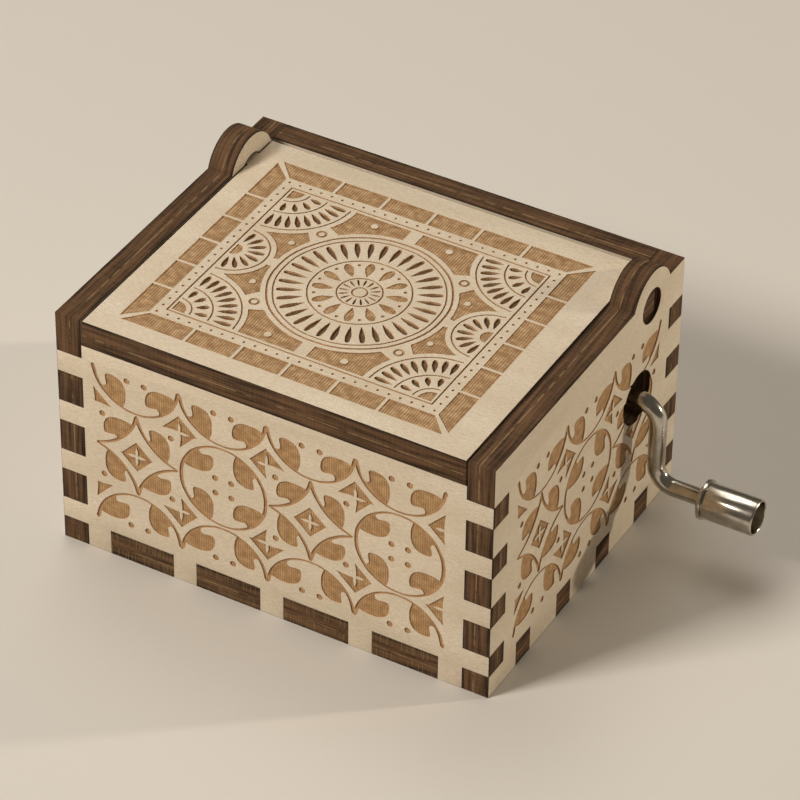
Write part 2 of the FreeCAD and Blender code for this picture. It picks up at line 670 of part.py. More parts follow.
# ---------------------------------------------------------------- crank
def make_worm():
    """Steel worm with one right-hand thread, pressed on the crank wire between the lugs."""
    core_radius = WORM_PITCH_RADIUS - DEDENDUM
    tip_radius = WORM_PITCH_RADIUS + ADDENDUM
    flank = math.tan(math.radians(FLANK_ANGLE))
    foot_radius = core_radius - THREAD_ROOT_SUNK
    half_foot = TOOTH_THICKNESS / 2 + (WORM_PITCH_RADIUS - foot_radius) * flank
    half_tip = TOOTH_THICKNESS / 2 - ADDENDUM * flank
    turns = WORM_THREAD_TURNS + 2 * THREAD_RUN_OUT_TURNS
    section = Part.makePolygon([
        Vector(foot_radius, 0, -half_foot),
        Vector(tip_radius, 0, -half_tip),
        Vector(tip_radius, 0, half_tip),
        Vector(foot_radius, 0, half_foot),
        Vector(foot_radius, 0, -half_foot),
    ])
    helix = Part.makeHelix(TOOTH_PITCH, turns * TOOTH_PITCH, WORM_PITCH_RADIUS)
    thread = Part.Wire(helix.Edges).makePipeShell([section], True, True)
    trimmed_length = WORM_THREAD_TURNS * TOOTH_PITCH
    keep = rod(WHEEL_PITCH_RADIUS, trimmed_length, Vector(0, 0, THREAD_RUN_OUT_TURNS * TOOTH_PITCH), Z_AXIS)
    thread = thread.common(keep)
    core_start = Vector(0, 0, turns * TOOTH_PITCH / 2 - WORM_HALF_LENGTH)
    core = rod(core_radius, 2 * WORM_HALF_LENGTH, core_start, Z_AXIS)
    bore = rod(WIRE_RADIUS, 2 * WORM_HALF_LENGTH, core_start, Z_AXIS)
    worm = core.fuse(thread).cut(bore)
    # The thread's start lies straight below the axis once the worm is laid along +X, so that a
    # space between threads is under the axis at the wheel's centre when the turns are odd.
    worm.rotate(ORIGIN, Y_AXIS, 90)
    worm.translate(Vector(CYLINDER_X - turns * TOOTH_PITCH / 2, CRANK_Y, CRANK_Z))
    return worm


def bend(start, centre, axis):
    """A quarter bend of the wire: its round section at start, swung about an axis through centre."""
    heading = axis.cross(start - centre)
    section = Part.Face(Part.Wire([Part.makeCircle(WIRE_RADIUS, start, heading)]))
    return section.revolve(centre, axis, 90)


def make_crank_wire():
    """Bent wire crank: worm shaft, arm straight down, and the pin that the knob turns on."""
    left_end = CYLINDER_X - WORM_HALF_LENGTH - LUG_THICKNESS - SHAFT_END_PROUD
    pin_z = CRANK_Z - THROW
    upper_x = ARM_X - BEND_RADIUS
    lower_x = ARM_X + BEND_RADIUS
    pin_end = KNOB_START_X + KNOB_END_WALL + KNOB_RUNNING_GAP
    arm_top = Vector(ARM_X, CRANK_Y, CRANK_Z - BEND_RADIUS)
    arm_low = Vector(ARM_X, CRANK_Y, pin_z + BEND_RADIUS)
    head_profile = [
        (0, 0),
        (0, CRANK_HEAD_RADIUS),
        (CRANK_HEAD_HEIGHT - CRANK_HEAD_BEVEL, CRANK_HEAD_RADIUS),
        (CRANK_HEAD_HEIGHT, CRANK_HEAD_RADIUS - CRANK_HEAD_BEVEL),
        (CRANK_HEAD_HEIGHT, 0),
    ]
    shoulder_x = KNOB_START_X - KNOB_RUNNING_GAP - CRANK_SHOULDER_LENGTH
    return fuse([
        rod(WIRE_RADIUS, upper_x - left_end, Vector(left_end, CRANK_Y, CRANK_Z), X_AXIS),
        bend(Vector(upper_x, CRANK_Y, CRANK_Z), Vector(upper_x, CRANK_Y, arm_top.z), Y_AXIS),
        rod(WIRE_RADIUS, arm_top.z - arm_low.z, arm_low, Z_AXIS),
        bend(arm_low, Vector(lower_x, CRANK_Y, arm_low.z), -Y_AXIS),
        rod(WIRE_RADIUS, pin_end - lower_x, Vector(lower_x, CRANK_Y, pin_z), X_AXIS),
        rod(CRANK_SHOULDER_RADIUS, CRANK_SHOULDER_LENGTH, Vector(shoulder_x, CRANK_Y, pin_z), X_AXIS),
        turned(head_profile, Vector(pin_end, CRANK_Y, pin_z), X_AXIS),
    ])


def make_knob():
    """Turned hollow knob with a thin flange at its inner end, open outwards with a bevelled lip."""
    hole_radius = WIRE_RADIUS + RUNNING_CLEARANCE
    neck_end = KNOB_FLANGE_LENGTH + KNOB_NECK_LENGTH
    profile = [
        (0, hole_radius),
        (0, KNOB_FLANGE_RADIUS - KNOB_FLANGE_BEVEL),
        (KNOB_FLANGE_BEVEL, KNOB_FLANGE_RADIUS),
        (KNOB_FLANGE_LENGTH - KNOB_FLANGE_BEVEL, KNOB_FLANGE_RADIUS),
        (KNOB_FLANGE_LENGTH, KNOB_NECK_RADIUS),
        (neck_end, KNOB_NECK_RADIUS),
        (neck_end, KNOB_BODY_RADIUS),
        (KNOB_LENGTH - KNOB_LIP_BEVEL, KNOB_BODY_RADIUS),
        (KNOB_LENGTH, KNOB_BODY_RADIUS - KNOB_LIP_BEVEL),
        (KNOB_LENGTH - KNOB_LIP_BEVEL, KNOB_CAVITY_RADIUS),
        (KNOB_END_WALL, KNOB_CAVITY_RADIUS),
        (KNOB_END_WALL, hole_radius),
    ]
    return turned(profile, Vector(KNOB_START_X, CRANK_Y, CRANK_Z - THROW), X_AXIS)


NODES = {
    "base_plate": make_base_plate,
    "front_panel": make_front_panel,
    "back_panel": make_back_panel,
    "left_panel": make_left_panel,
    "right_panel": make_right_panel,
    "lid": make_lid,
    "bedplate": make_bedplate,
    "front_bracket": make_front_bracket,
    "back_bracket": make_back_bracket,
    "bracket_screws": make_bracket_screws,
    "comb": make_comb,
    "comb_screws": make_comb_screws,
    "tuning_weights": make_tuning_weights,
    "mounting_screws": make_mounting_screws,
    "cylinder": make_cylinder,
    "end_cap": make_end_cap,
    "arbor": make_arbor,
    "worm_wheel": make_worm_wheel,
    "worm": make_worm,
    "crank_wire": make_crank_wire,
    "knob": make_knob,
}


def main():
    os.makedirs("parts", exist_ok=True)
    for name, make in NODES.items():
        shape = make()
        shape.exportStep("parts/" + name + ".step")
        print(name, "solids", len(shape.Solids), "volume", round(shape.Volume, 2), shape.isValid())


main()
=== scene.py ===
"""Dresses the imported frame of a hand-cranked music box.

The case is cut from three-layer basswood plywood by a laser, so each board is drawn flat with its
show face up, notched, eased, engraved and then stood up in its place. The crank and its knob are
bright nickel. The comb movement inside keeps its own solids and gets its metals and plastics.
"""

import json
import logging
import math
from dataclasses import dataclass, field
from enum import Enum, IntEnum
from typing import Callable, Sequence

import bpy
from mathutils import Matrix, Vector

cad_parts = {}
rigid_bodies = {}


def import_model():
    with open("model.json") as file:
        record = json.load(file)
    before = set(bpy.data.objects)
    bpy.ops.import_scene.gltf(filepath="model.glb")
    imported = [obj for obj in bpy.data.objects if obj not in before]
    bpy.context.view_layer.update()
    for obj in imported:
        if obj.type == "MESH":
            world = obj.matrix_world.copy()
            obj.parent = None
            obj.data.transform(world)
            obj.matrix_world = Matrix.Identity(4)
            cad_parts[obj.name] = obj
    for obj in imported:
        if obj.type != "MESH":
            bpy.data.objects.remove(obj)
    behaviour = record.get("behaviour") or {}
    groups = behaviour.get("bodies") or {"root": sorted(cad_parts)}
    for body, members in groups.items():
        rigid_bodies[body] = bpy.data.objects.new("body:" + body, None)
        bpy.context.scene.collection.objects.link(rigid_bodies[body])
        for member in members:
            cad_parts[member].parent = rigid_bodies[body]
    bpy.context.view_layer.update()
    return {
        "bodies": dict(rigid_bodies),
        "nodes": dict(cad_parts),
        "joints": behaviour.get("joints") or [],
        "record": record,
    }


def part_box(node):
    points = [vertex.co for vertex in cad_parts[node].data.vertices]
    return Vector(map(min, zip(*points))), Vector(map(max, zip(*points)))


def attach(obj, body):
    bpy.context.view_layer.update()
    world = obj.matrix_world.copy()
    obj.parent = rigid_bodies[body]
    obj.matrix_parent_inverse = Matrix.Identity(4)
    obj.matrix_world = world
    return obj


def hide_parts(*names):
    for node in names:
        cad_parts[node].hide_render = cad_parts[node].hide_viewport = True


LOG = logging.getLogger("music_box")
MM = 0.001
SPARE = 1 * MM  # how far a cutting tool stands out of what it cuts
ARC_STEPS = 6  # stretches of an engraved arc
SHEET = "sheet"
END_GRAIN = "end_grain"

Tone = tuple[int, int, int]
Span = tuple[float, float]
Notch = tuple[float, float, float, float]
Stretch = tuple[float, float, float]
Labels = tuple[tuple[str, str], ...]
Knot = tuple[float, float, bool]
Outline = list[Knot]
Lots = tuple[list[Outline], list[Outline], list[Outline]]


class Layer(IntEnum):
    """Material slots of a plywood board."""

    FACE = 0
    EDGE = 1
    RASTER = 2
    GROOVE = 3
    # Walls of a recess: their finish is painted lighter than the floors, a painted highlight of the
    # lit walls.
    BANK = 4
    DEEP = 5


class Way(Enum):
    """How a tool changes a piece: Blender's Boolean operation, and the solver that suits it."""

    CUT = ("DIFFERENCE", "MANIFOLD")
    FUSE = ("UNION", "EXACT")


# ---------------------------------------------------------------- shader nodes
def linear(tone: Tone) -> tuple[float, float, float, float]:
    """A display colour as the linear one that shaders work in.

    Args:
        tone: red, green and blue from 0 to 255.

    Returns:
        Linear red, green, blue and an alpha of 1.
    """
    channels = []
    for part in tone:
        value = part / 255
        channels.append(value / 12.92 if value <= 0.04045 else ((value + 0.055) / 1.055) ** 2.4)
    return channels[0], channels[1], channels[2], 1.0


class NodeBoard:
    """Lays nodes in one tree, in rows, and wires them."""

    PER_ROW = 8
    COLUMN = 180
    ROW = 260

    def __init__(self, tree: bpy.types.NodeTree) -> None:
        """Start on a tree."""
        self.tree = tree
        self.count = 0

    def node(self, kind: str, **settings: object) -> bpy.types.Node:
        """Add a node.

        Args:
            kind: its type, without the ShaderNode prefix.
            settings: properties to set on it.

        Returns:
            The new node.
        """
        made = self.tree.nodes.new("ShaderNode" + kind)
        row, column = divmod(self.count, self.PER_ROW)
        made.location = (self.COLUMN * column, -self.ROW * row)
        self.count += 1
        for name, value in settings.items():
            setattr(made, name, value)
        return made

    def plug(self, socket: bpy.types.NodeSocket, source: object) -> None:
        """Set a socket to a constant, or wire another socket to it.

        Args:
            socket: the input.
            source: a number, a vector, a colour or an output socket.
        """
        if isinstance(source, bpy.types.NodeSocket):
            self.tree.links.new(source, socket)
        else:
            socket.default_value = source

    def feed(self, node: bpy.types.Node, **sources: object) -> None:
        """Plug several inputs of a node by name, with spaces written as underscores."""
        for label, source in sources.items():
            self.plug(node.inputs[label.replace("_", " ")], source)

    def noise(self, vector: object, scale: float, detail: float = 2.0) -> bpy.types.NodeSocket:
        """A noise texture's value.

        Args:
            vector: where it is read.
            scale: cells per unit.
            detail: octaves.

        Returns:
            The value's socket.
        """
        made = self.node("TexNoise")
        self.feed(made, Vector=vector, Scale=scale, Detail=detail)
        return made.outputs[0]

    def streaks(self, vector: object, stretch: Stretch, detail: float) -> bpy.types.NodeSocket:
        """Noise with its own scale along each axis.

        Args:
            vector: where it is read.
            stretch: cells per metre along each axis.
            detail: octaves.

        Returns:
            The value's socket.
        """
        made = self.node("Mapping")
        self.feed(made, Vector=vector, Scale=stretch)
        return self.noise(made.outputs[0], 1.0, detail)

    def math(self, operation: str, first: object, second: object = 0.0) -> bpy.types.NodeSocket:
        """One sum on values.

        Args:
            operation: the Math node's operation.
            first: its first value.
            second: its second value.

        Returns:
            The result's socket.
        """
        made = self.node("Math", operation=operation)
        self.plug(made.inputs[0], first)
        self.plug(made.inputs[1], second)
        return made.outputs[0]

    def total(self, first: object, second: object) -> bpy.types.NodeSocket:
        """Two values added."""
        return self.math("ADD", first, second)

    def product(self, first: object, second: object) -> bpy.types.NodeSocket:
        """Two values multiplied."""
        return self.math("MULTIPLY", first, second)

    def band(self, value: object, low: float, high: float,
             to_low: float = 0.0, to_high: float = 1.0) -> bpy.types.NodeSocket:
        """Map a value from one range to another, clamped.

        Args:
            value: the value.
            low: start of its range.
            high: end of its range.
            to_low: result at low.
            to_high: result at high.

        Returns:
            The result's socket.
        """
        made = self.node("MapRange")
        for socket, source in zip(made.inputs, (value, low, high, to_low, to_high)):
            self.plug(socket, source)
        return made.outputs[0]

    def mix(self, share: object, first: object, second: object) -> bpy.types.NodeSocket:
        """Mix two colours.

        Args:
            share: 0 for the first, 1 for the second.
            first: a colour.
            second: a colour.

        Returns:
            The mixed colour's socket.
        """
        made = self.node("Mix", data_type="RGBA")
        for index, source in ((0, share), (6, first), (7, second)):
            self.plug(made.inputs[index], source)
        return made.outputs[2]

    def split(self, vector: object) -> list[bpy.types.NodeSocket]:
        """The three parts of a vector.

        Args:
            vector: the vector's socket.

        Returns:
            A socket for each part.
        """
        made = self.node("SeparateXYZ")
        self.plug(made.inputs[0], vector)
        return list(made.outputs)

    def bump(self, height: object, strength: float, distance: float) -> bpy.types.NodeSocket:
        """Turn a height into a normal.

        Args:
            height: the height's socket.
            strength: how much of it shows.
            distance: depth in metres of a height of 1.

        Returns:
            The normal's socket.
        """
        made = self.node("Bump")
        self.feed(made, Strength=strength, Distance=distance, Height=height)
        return made.outputs[0]

    def attribute(self, name: str) -> bpy.types.Node:
        """Read an attribute of the mesh."""
        return self.node("Attribute", attribute_name=name, attribute_type="GEOMETRY")

    def sheet(self) -> bpy.types.NodeSocket:
        """Where a point lies on the flat board."""
        return self.attribute(SHEET).outputs["Vector"]

    def inside(self) -> bpy.types.NodeSocket:
        """Where a point lies in its object."""
        return self.node("TexCoord").outputs["Object"]


# ---------------------------------------------------------------- shared effects
@dataclass(frozen=True)
class Effect:
    """A shader effect that finishes share: a node group, built at its first use."""

    name: str
    inputs: Labels
    outputs: Labels

    def wire(self, board: NodeBoard, entry: bpy.types.Node, leave: bpy.types.Node) -> None:
        """Lay the nodes between the group's input and output.

        Args:
            board: the group's nodes.
            entry: the group's input node.
            leave: the group's output node.
        """
        raise NotImplementedError

    def tree(self) -> bpy.types.NodeTree:
        """The group's tree.

        Returns:
            The tree, built now if this is its first use.
        """
        made = bpy.data.node_groups.get(self.name)
        if made is None:
            made = bpy.data.node_groups.new(self.name, "ShaderNodeTree")
            for way, labels in (("INPUT", self.inputs), ("OUTPUT", self.outputs)):
                for label, kind in labels:
                    made.interface.new_socket(label, in_out=way, socket_type="NodeSocket" + kind)
            self.wire(NodeBoard(made), made.nodes.new("NodeGroupInput"),
                      made.nodes.new("NodeGroupOutput"))
        return made

    def place(self, board: NodeBoard, **values: object) -> bpy.types.Node:
        """Put the group in a material.

        Args:
            board: the material's nodes.
            values: its inputs by name, with spaces written as underscores.

        Returns:
            The group's node.
        """
        made = board.node("Group", node_tree=self.tree())
        board.feed(made, **values)
        return made


@dataclass(frozen=True)
class WoodGrain(Effect):
    """Grain of rotary-cut basswood along the sheet: soft figure, fine fibres and flecks."""

    name: str = "Basswood grain"
    inputs: Labels = (("Place", "Vector"), ("Light", "Color"), ("Dark", "Color"),
                      ("Fleck", "Color"))
    outputs: Labels = (("Color", "Color"), ("Height", "Float"))
    figure: Stretch = (45, 200, 60)
    fibres: Stretch = (1100, 4200, 2600)
    pebble: Stretch = (4200, 6400, 4200)
    flecks: Stretch = (900, 3400, 1500)
    figure_share: float = 0.45
    fine_share: float = 0.8
    fleck_share: float = 0.25

    def wire(self, board: NodeBoard, entry: bpy.types.Node, leave: bpy.types.Node) -> None:
        """Lay the grain's nodes.

        Args:
            board: the group's nodes.
            entry: the group's input node.
            leave: the group's output node.
        """
        place, light, dark, speck = (entry.outputs[label] for label, _ in self.inputs)
        figure = board.streaks(place, self.figure, 3.0)
        fibres = board.streaks(place, self.fibres, 3.0)
        pebble = board.streaks(place, self.pebble, 2.0)
        flecks = board.streaks(place, self.flecks, 1.0)
        shade = board.band(figure, 0.3, 0.7)
        fleck = board.band(flecks, 0.62, 0.76)
        fine = board.total(board.band(fibres, 0.32, 0.68), board.band(pebble, 0.36, 0.64))
        fine = board.product(fine, 0.5)
        tone = board.mix(board.product(shade, self.figure_share), light, dark)
        tone = board.mix(board.product(fine, self.fine_share), tone, dark)
        tone = board.mix(board.product(fleck, self.fleck_share), tone, speck)
        board.feed(leave, Color=tone, Height=fine)


@dataclass(frozen=True)
class BeamPasses(Effect):
    """Close parallel passes of the engraving beam, crossed by the fibres they uncover."""

    name: str = "Beam passes"
    inputs: Labels = (("Place", "Vector"), ("Pitch", "Float"), ("Cross", "Float"))
    outputs: Labels = (("Mask", "Float"),)
    fibres: Stretch = (700, 1500, 700)
    fibre_sway: float = 0.6
    reach: float = 1.6

    def wire(self, board: NodeBoard, entry: bpy.types.Node, leave: bpy.types.Node) -> None:
        """Lay the passes' nodes.

        Args:
            board: the group's nodes.
            entry: the group's input node.
            leave: the group's output node.
        """
        place = entry.outputs["Place"]
        across, along, _ = board.split(place)
        turns = board.math("DIVIDE", 2 * math.pi, entry.outputs["Pitch"])
        passes = board.math("SINE", board.product(across, turns))
        weft = board.math("SINE", board.product(along, turns))
        rough = board.streaks(place, self.fibres, 3.0)
        weft = board.product(weft, entry.outputs["Cross"])
        sway = board.band(rough, 0.3, 0.7, -self.fibre_sway, self.fibre_sway)
        lines = board.total(passes, board.total(weft, sway))
        board.feed(leave, Mask=board.band(lines, -self.reach, self.reach))


@dataclass(frozen=True)
class CutSoot(Effect):
    """Soot of a laser cut: streaks along the plies, end-grain ticks and a broken glue line."""

    name: str = "Cut edge soot"
    inputs: Labels = (("Place", "Vector"), ("Middle", "Float"), ("End Grain", "Float"))
    outputs: Labels = (("Soot", "Float"), ("Pale", "Float"), ("Height", "Float"))
    plies: Stretch = (110, 110, 2300)
    ticks: Stretch = (5200, 5200, 260)
    glue_runs: Stretch = (520, 520, 900)
    rim: Span = (1.25 * MM, 1.85 * MM)
    outer_ply: Span = (0.35 * MM, 0.6 * MM)
    glue_place: float = 0.30 * MM
    glue_fade: Span = (0.05 * MM, 0.13 * MM)

    def wire(self, board: NodeBoard, entry: bpy.types.Node, leave: bpy.types.Node) -> None:
        """Lay the soot's nodes.

        Args:
            board: the group's nodes.
            entry: the group's input node.
            leave: the group's output node.
        """
        place = entry.outputs["Place"]
        depth = board.split(place)[2]
        plies = board.streaks(place, self.plies, 3.0)
        ticks = board.streaks(place, self.ticks, 1.0)
        runs = board.streaks(place, self.glue_runs, 2.0)
        off = board.math("SUBTRACT", depth, entry.outputs["Middle"])
        from_middle = board.math("ABSOLUTE", off)
        rim = board.band(from_middle, *self.rim)
        line = board.math("ABSOLUTE", board.total(off, self.glue_place))
        near = board.band(line, *self.glue_fade, 1.0, 0.0)
        glue = board.product(near, board.band(runs, 0.40, 0.54))
        outer = board.band(from_middle, *self.outer_ply)
        end_grain = board.product(board.band(ticks, 0.5, 0.64), outer)
        end_grain = board.product(end_grain, entry.outputs["End Grain"])
        soot = board.total(board.band(plies, 0.34, 0.66, 0.0, 0.85), board.product(rim, 0.45))
        soot = board.total(soot, board.band(ticks, 0.3, 0.7, -0.12, 0.12))
        board.feed(leave, Soot=board.band(soot, 0.0, 1.0),
                   Pale=board.math("MAXIMUM", glue, end_grain), Height=board.total(plies, ticks))


@dataclass(frozen=True)
class HandledMetal(Effect):
    """Fine lines and haze that tools and fingers leave on metal."""

    name: str = "Handled metal"
    inputs: Labels = (("Place", "Vector"), ("Haze Scale", "Float"), ("Bright", "Float"),
                      ("Dull", "Float"))
    outputs: Labels = (("Roughness", "Float"), ("Mask", "Float"), ("Height", "Float"))
    scratches: Stretch = (300, 4000, 4000)
    haze_share: float = 0.7
    scratch_share: float = 0.3

    def wire(self, board: NodeBoard, entry: bpy.types.Node, leave: bpy.types.Node) -> None:
        """Lay the metal's nodes.

        Args:
            board: the group's nodes.
            entry: the group's input node.
            leave: the group's output node.
        """
        place, haze_scale, bright, dull = (entry.outputs[label] for label, _ in self.inputs)
        haze = board.noise(place, haze_scale, 3.0)
        lines = board.streaks(place, self.scratches, 2.0)
        grey = board.total(board.product(haze, self.haze_share),
                           board.product(lines, self.scratch_share))
        span = board.math("SUBTRACT", dull, bright)
        mask = board.band(grey, 0.35, 0.65)
        rough = board.total(bright, board.product(mask, span))
        board.feed(leave, Roughness=rough, Mask=mask, Height=lines)


def new_surface(name: str) -> tuple[bpy.types.Material, NodeBoard, bpy.types.Node]:
    """An empty material.

    Args:
        name: its name.

    Returns:
        The material, its node board and its Principled shader.
    """
    material = bpy.data.materials.new(name)
    material.use_nodes = True
    return material, NodeBoard(material.node_tree), material.node_tree.nodes["Principled BSDF"]


# ---------------------------------------------------------------- plywood finishes
@dataclass(frozen=True)
class BareFace:
    """Sanded show face of the ply."""

    light: Tone = (231, 219, 199)
    dark: Tone = (191, 172, 144)
    fleck: Tone = (158, 134, 104)
    roughness: float = 0.62
    bump: float = 0.28
    relief: float = 0.03 * MM

    def material(self) -> bpy.types.Material:
        """Build the material.

        Returns:
            The material.
        """
        made, board, shader = new_surface("bare_basswood")
        grain = WoodGrain().place(board, Place=board.sheet(), Light=linear(self.light),
                                  Dark=linear(self.dark), Fleck=linear(self.fleck))
        board.feed(shader, Base_Color=grain.outputs["Color"], Roughness=self.roughness,
                   Normal=board.bump(grain.outputs["Height"], self.bump, self.relief))
        return made


@dataclass(frozen=True)
class BurntEdge:
    """Edge that the laser cut, with soot and the glue line."""

    brown: Tone = (108, 80, 56)
    black: Tone = (46, 35, 25)
    pale: Tone = (150, 123, 88)
    pale_share: float = 0.7
    ply: float = 3.8 * MM
    roughness: float = 0.8
    shine: float = 0.15
    bump: float = 0.6
    relief: float = 0.05 * MM

    def material(self) -> bpy.types.Material:
        """Build the material.

        Returns:
            The material.
        """
        made, board, shader = new_surface("laser_burnt_edge")
        ticks = board.attribute(END_GRAIN).outputs["Fac"]
        soot = CutSoot().place(board, Place=board.sheet(), Middle=-self.ply / 2, End_Grain=ticks)
        tone = board.mix(soot.outputs["Soot"], linear(self.brown), linear(self.black))
        pale = board.product(soot.outputs["Pale"], self.pale_share)
        tone = board.mix(pale, tone, linear(self.pale))
        board.feed(shader, Base_Color=tone, Roughness=self.roughness, Specular_IOR_Level=self.shine,
                   Normal=board.bump(soot.outputs["Height"], self.bump, self.relief))
        return made


@dataclass(frozen=True)
class BeamFloor:
    """Floor or bank of an engraved recess, toasted by passes of the beam; a bank's tones are set
    lighter than the floors', a painted highlight where the wall catches light.
    """

    name: str
    pale: Tone
    toasted: Tone
    pitch: float = 0.33 * MM
    cross: float = 0.8
    relief: float = 0.06 * MM
    bump: float = 0.5
    roughness: float = 0.85
    cloud_scale: float = 1000.0
    cloud_share: float = 0.7

    def material(self) -> bpy.types.Material:
        """Build the material.

        Returns:
            The material.
        """
        made, board, shader = new_surface(self.name)
        place = board.sheet()
        lines = BeamPasses().place(board, Place=place, Pitch=self.pitch, Cross=self.cross)
        cloud = board.band(board.noise(place, self.cloud_scale, 3.0), 0.35, 0.65,
                           0.0, self.cloud_share)
        tone = board.mix(lines.outputs["Mask"], linear(self.toasted), linear(self.pale))
        board.feed(shader, Base_Color=board.mix(cloud, tone, linear(self.toasted)),
                   Roughness=self.roughness,
                   Normal=board.bump(lines.outputs["Mask"], self.bump, self.relief))
        return made


# ---------------------------------------------------------------- metals and plastics
@dataclass(frozen=True)
class MetalFinish:
    """A metal: its colour where bright and where dull, and how polished it is."""

    name: str
    bright: Tone
    dull: Tone
    smooth: float
    rough: float
    haze: float = 900.0
    bump: float = 0.3
    relief: float = 0.01 * MM

    def material(self) -> bpy.types.Material:
        """Build the material.

        Returns:
            The material.
        """
        made, board, shader = new_surface(self.name)
        handled = HandledMetal().place(board, Place=board.inside(), Haze_Scale=self.haze,
                                       Bright=self.smooth, Dull=self.rough)
        tone = board.mix(handled.outputs["Mask"], linear(self.bright), linear(self.dull))
        board.feed(shader, Base_Color=tone, Metallic=1.0, Roughness=handled.outputs["Roughness"],
                   Normal=board.bump(handled.outputs["Height"], self.bump, self.relief))
        return made


@dataclass(frozen=True)
class MouldedNylon:
    """Milky moulded plastic with a faint mottle."""

    milk: Tone = (236, 233, 220)
    shade: Tone = (219, 214, 197)
    mottle: float = 700.0
    smooth: float = 0.36
    rough: float = 0.48
    milkiness: float = 0.1
    milk_depth: float = 0.8 * MM
    bump: float = 0.2
    relief: float = 0.01 * MM

    def material(self) -> bpy.types.Material:
        """Build the material.

        Returns:
            The material.
        """
        made, board, shader = new_surface("moulded_nylon")
        mottle = board.noise(board.inside(), self.mottle, 3.0)
        tone = board.mix(board.band(mottle, 0.35, 0.65), linear(self.milk), linear(self.shade))
        board.feed(shader, Base_Color=tone,
                   Roughness=board.band(mottle, 0.3, 0.7, self.smooth, self.rough),
                   Subsurface_Weight=self.milkiness, Subsurface_Scale=self.milk_depth,
                   Normal=board.bump(mottle, self.bump, self.relief))
        return made


# ---------------------------------------------------------------- workbench
def pick(piece: bpy.types.Object) -> None:
    """Select one piece alone and make it active.

    Args:
        piece: the piece.
    """
    bpy.ops.object.select_all(action="DESELECT")
    piece.select_set(True)
    bpy.context.view_layer.objects.active = piece


def settle(piece: bpy.types.Object) -> None:
    """Move a piece's place into its mesh."""
    pick(piece)
    bpy.ops.object.transform_apply(location=True, rotation=True, scale=True)


def add(name: str, operator: Callable[..., set[str]], **settings: object) -> bpy.types.Object:
    """Add one object by an operator, with nothing else selected.

    Args:
        name: the object's name.
        operator: the operator that adds it.
        settings: the operator's settings.

    Returns:
        The object.
    """
    bpy.ops.object.select_all(action="DESELECT")
    operator(**settings)
    made = bpy.context.object
    made.name = name
    return made


def slab(name: str, low: Vector, high: Vector) -> bpy.types.Object:
    """A block between two corners.

    Args:
        name: its name.
        low: its lowest corner.
        high: its highest corner.

    Returns:
        The block.
    """
    made = add(name, bpy.ops.mesh.primitive_cube_add, size=1, location=(low + high) / 2,
               scale=high - low)
    settle(made)
    return made


def round_bar(name: str, radius: float, start: Vector, end: Vector, sides: int) -> bpy.types.Object:
    """A round bar between two points.

    Args:
        name: its name.
        radius: its radius.
        start: centre of one end.
        end: centre of the other end.
        sides: number of its sides.

    Returns:
        The bar.
    """
    run = end - start
    made = add(name, bpy.ops.mesh.primitive_cylinder_add, vertices=sides, radius=radius,
               depth=run.length, location=(start + end) / 2,
               rotation=run.to_track_quat("Z", "Y").to_euler())
    settle(made)
    return made


def join(pieces: list[bpy.types.Object]) -> bpy.types.Object:
    """Make one object of several.

    Args:
        pieces: the objects, which become one.

    Returns:
        The one object, which is the first of them.
    """
    pick(pieces[0])
    for piece in pieces:
        piece.select_set(True)
    bpy.ops.object.join()
    return bpy.context.object


def run_modifier(piece: bpy.types.Object, kind: str, **settings: object) -> None:
    """Add a modifier and apply it.

    Args:
        piece: the object.
        kind: the modifier's type.
        settings: its properties.
    """
    pick(piece)
    made = piece.modifiers.new(kind.lower(), kind)
    for name, value in settings.items():
        setattr(made, name, value)
    bpy.ops.object.modifier_apply(modifier=made.name)


def combine(piece: bpy.types.Object, tool: bpy.types.Object, way: Way = Way.CUT) -> None:
    """Cut a tool from a piece, or fuse it on, and throw the tool away.

    Args:
        piece: the object that changes.
        tool: the object that is used up.
        way: whether it is cut out or fused on.
    """
    operation, solver = way.value
    run_modifier(piece, "BOOLEAN", operation=operation, solver=solver, object=tool)
    bpy.data.objects.remove(tool, do_unlink=True)


def dress(piece: bpy.types.Object, materials: Sequence[bpy.types.Material]) -> None:
    """Give a piece its material slots.

    Args:
        piece: the piece.
        materials: its finishes, in the order of its slots.
    """
    piece.data.materials.clear()
    for material in materials:
        piece.data.materials.append(material)


def shade_smooth(piece: bpy.types.Object, angle: float) -> None:
    """Shade a piece smooth across edges flatter than this many degrees."""
    pick(piece)
    bpy.ops.object.shade_smooth_by_angle(angle=math.radians(angle))


def ring_extrude(shift: Vector, scale: float, centre: Vector) -> None:
    """Extrude the selected ring, move it and scale it about a centre.

    Args:
        shift: how far it moves.
        scale: its new size over its old.
        centre: the ring's new centre.
    """
    bpy.ops.mesh.extrude_region_move(TRANSFORM_OT_translate={"value": shift})
    if not math.isclose(scale, 1):
        bpy.ops.transform.resize(value=(scale, scale, scale), center_override=centre)


# ---------------------------------------------------------------- engraving outlines
def circle(u: float, v: float, across: float, along: float | None = None,
           knots: int = 6) -> Outline:
    """A circle or ellipse.

    Args:
        u: centre across.
        v: centre along.
        across: half-width.
        along: half-height, or the same as across.
        knots: its points.

    Returns:
        The outline.
    """
    along = across if along is None else along
    turn = [2 * math.pi * index / knots for index in range(knots)]
    return [(u + across * math.cos(angle), v + along * math.sin(angle), True) for angle in turn]


def ring(u: float, v: float, radius: float, width: float) -> list[Outline]:
    """A round line, as its outer and its inner edge."""
    return [circle(u, v, radius + side * width / 2, knots=12) for side in (1, -1)]


def polygon(points: Sequence[tuple[float, float]]) -> Outline:
    """An outline with straight sides through the points."""
    return [(u, v, False) for u, v in points]


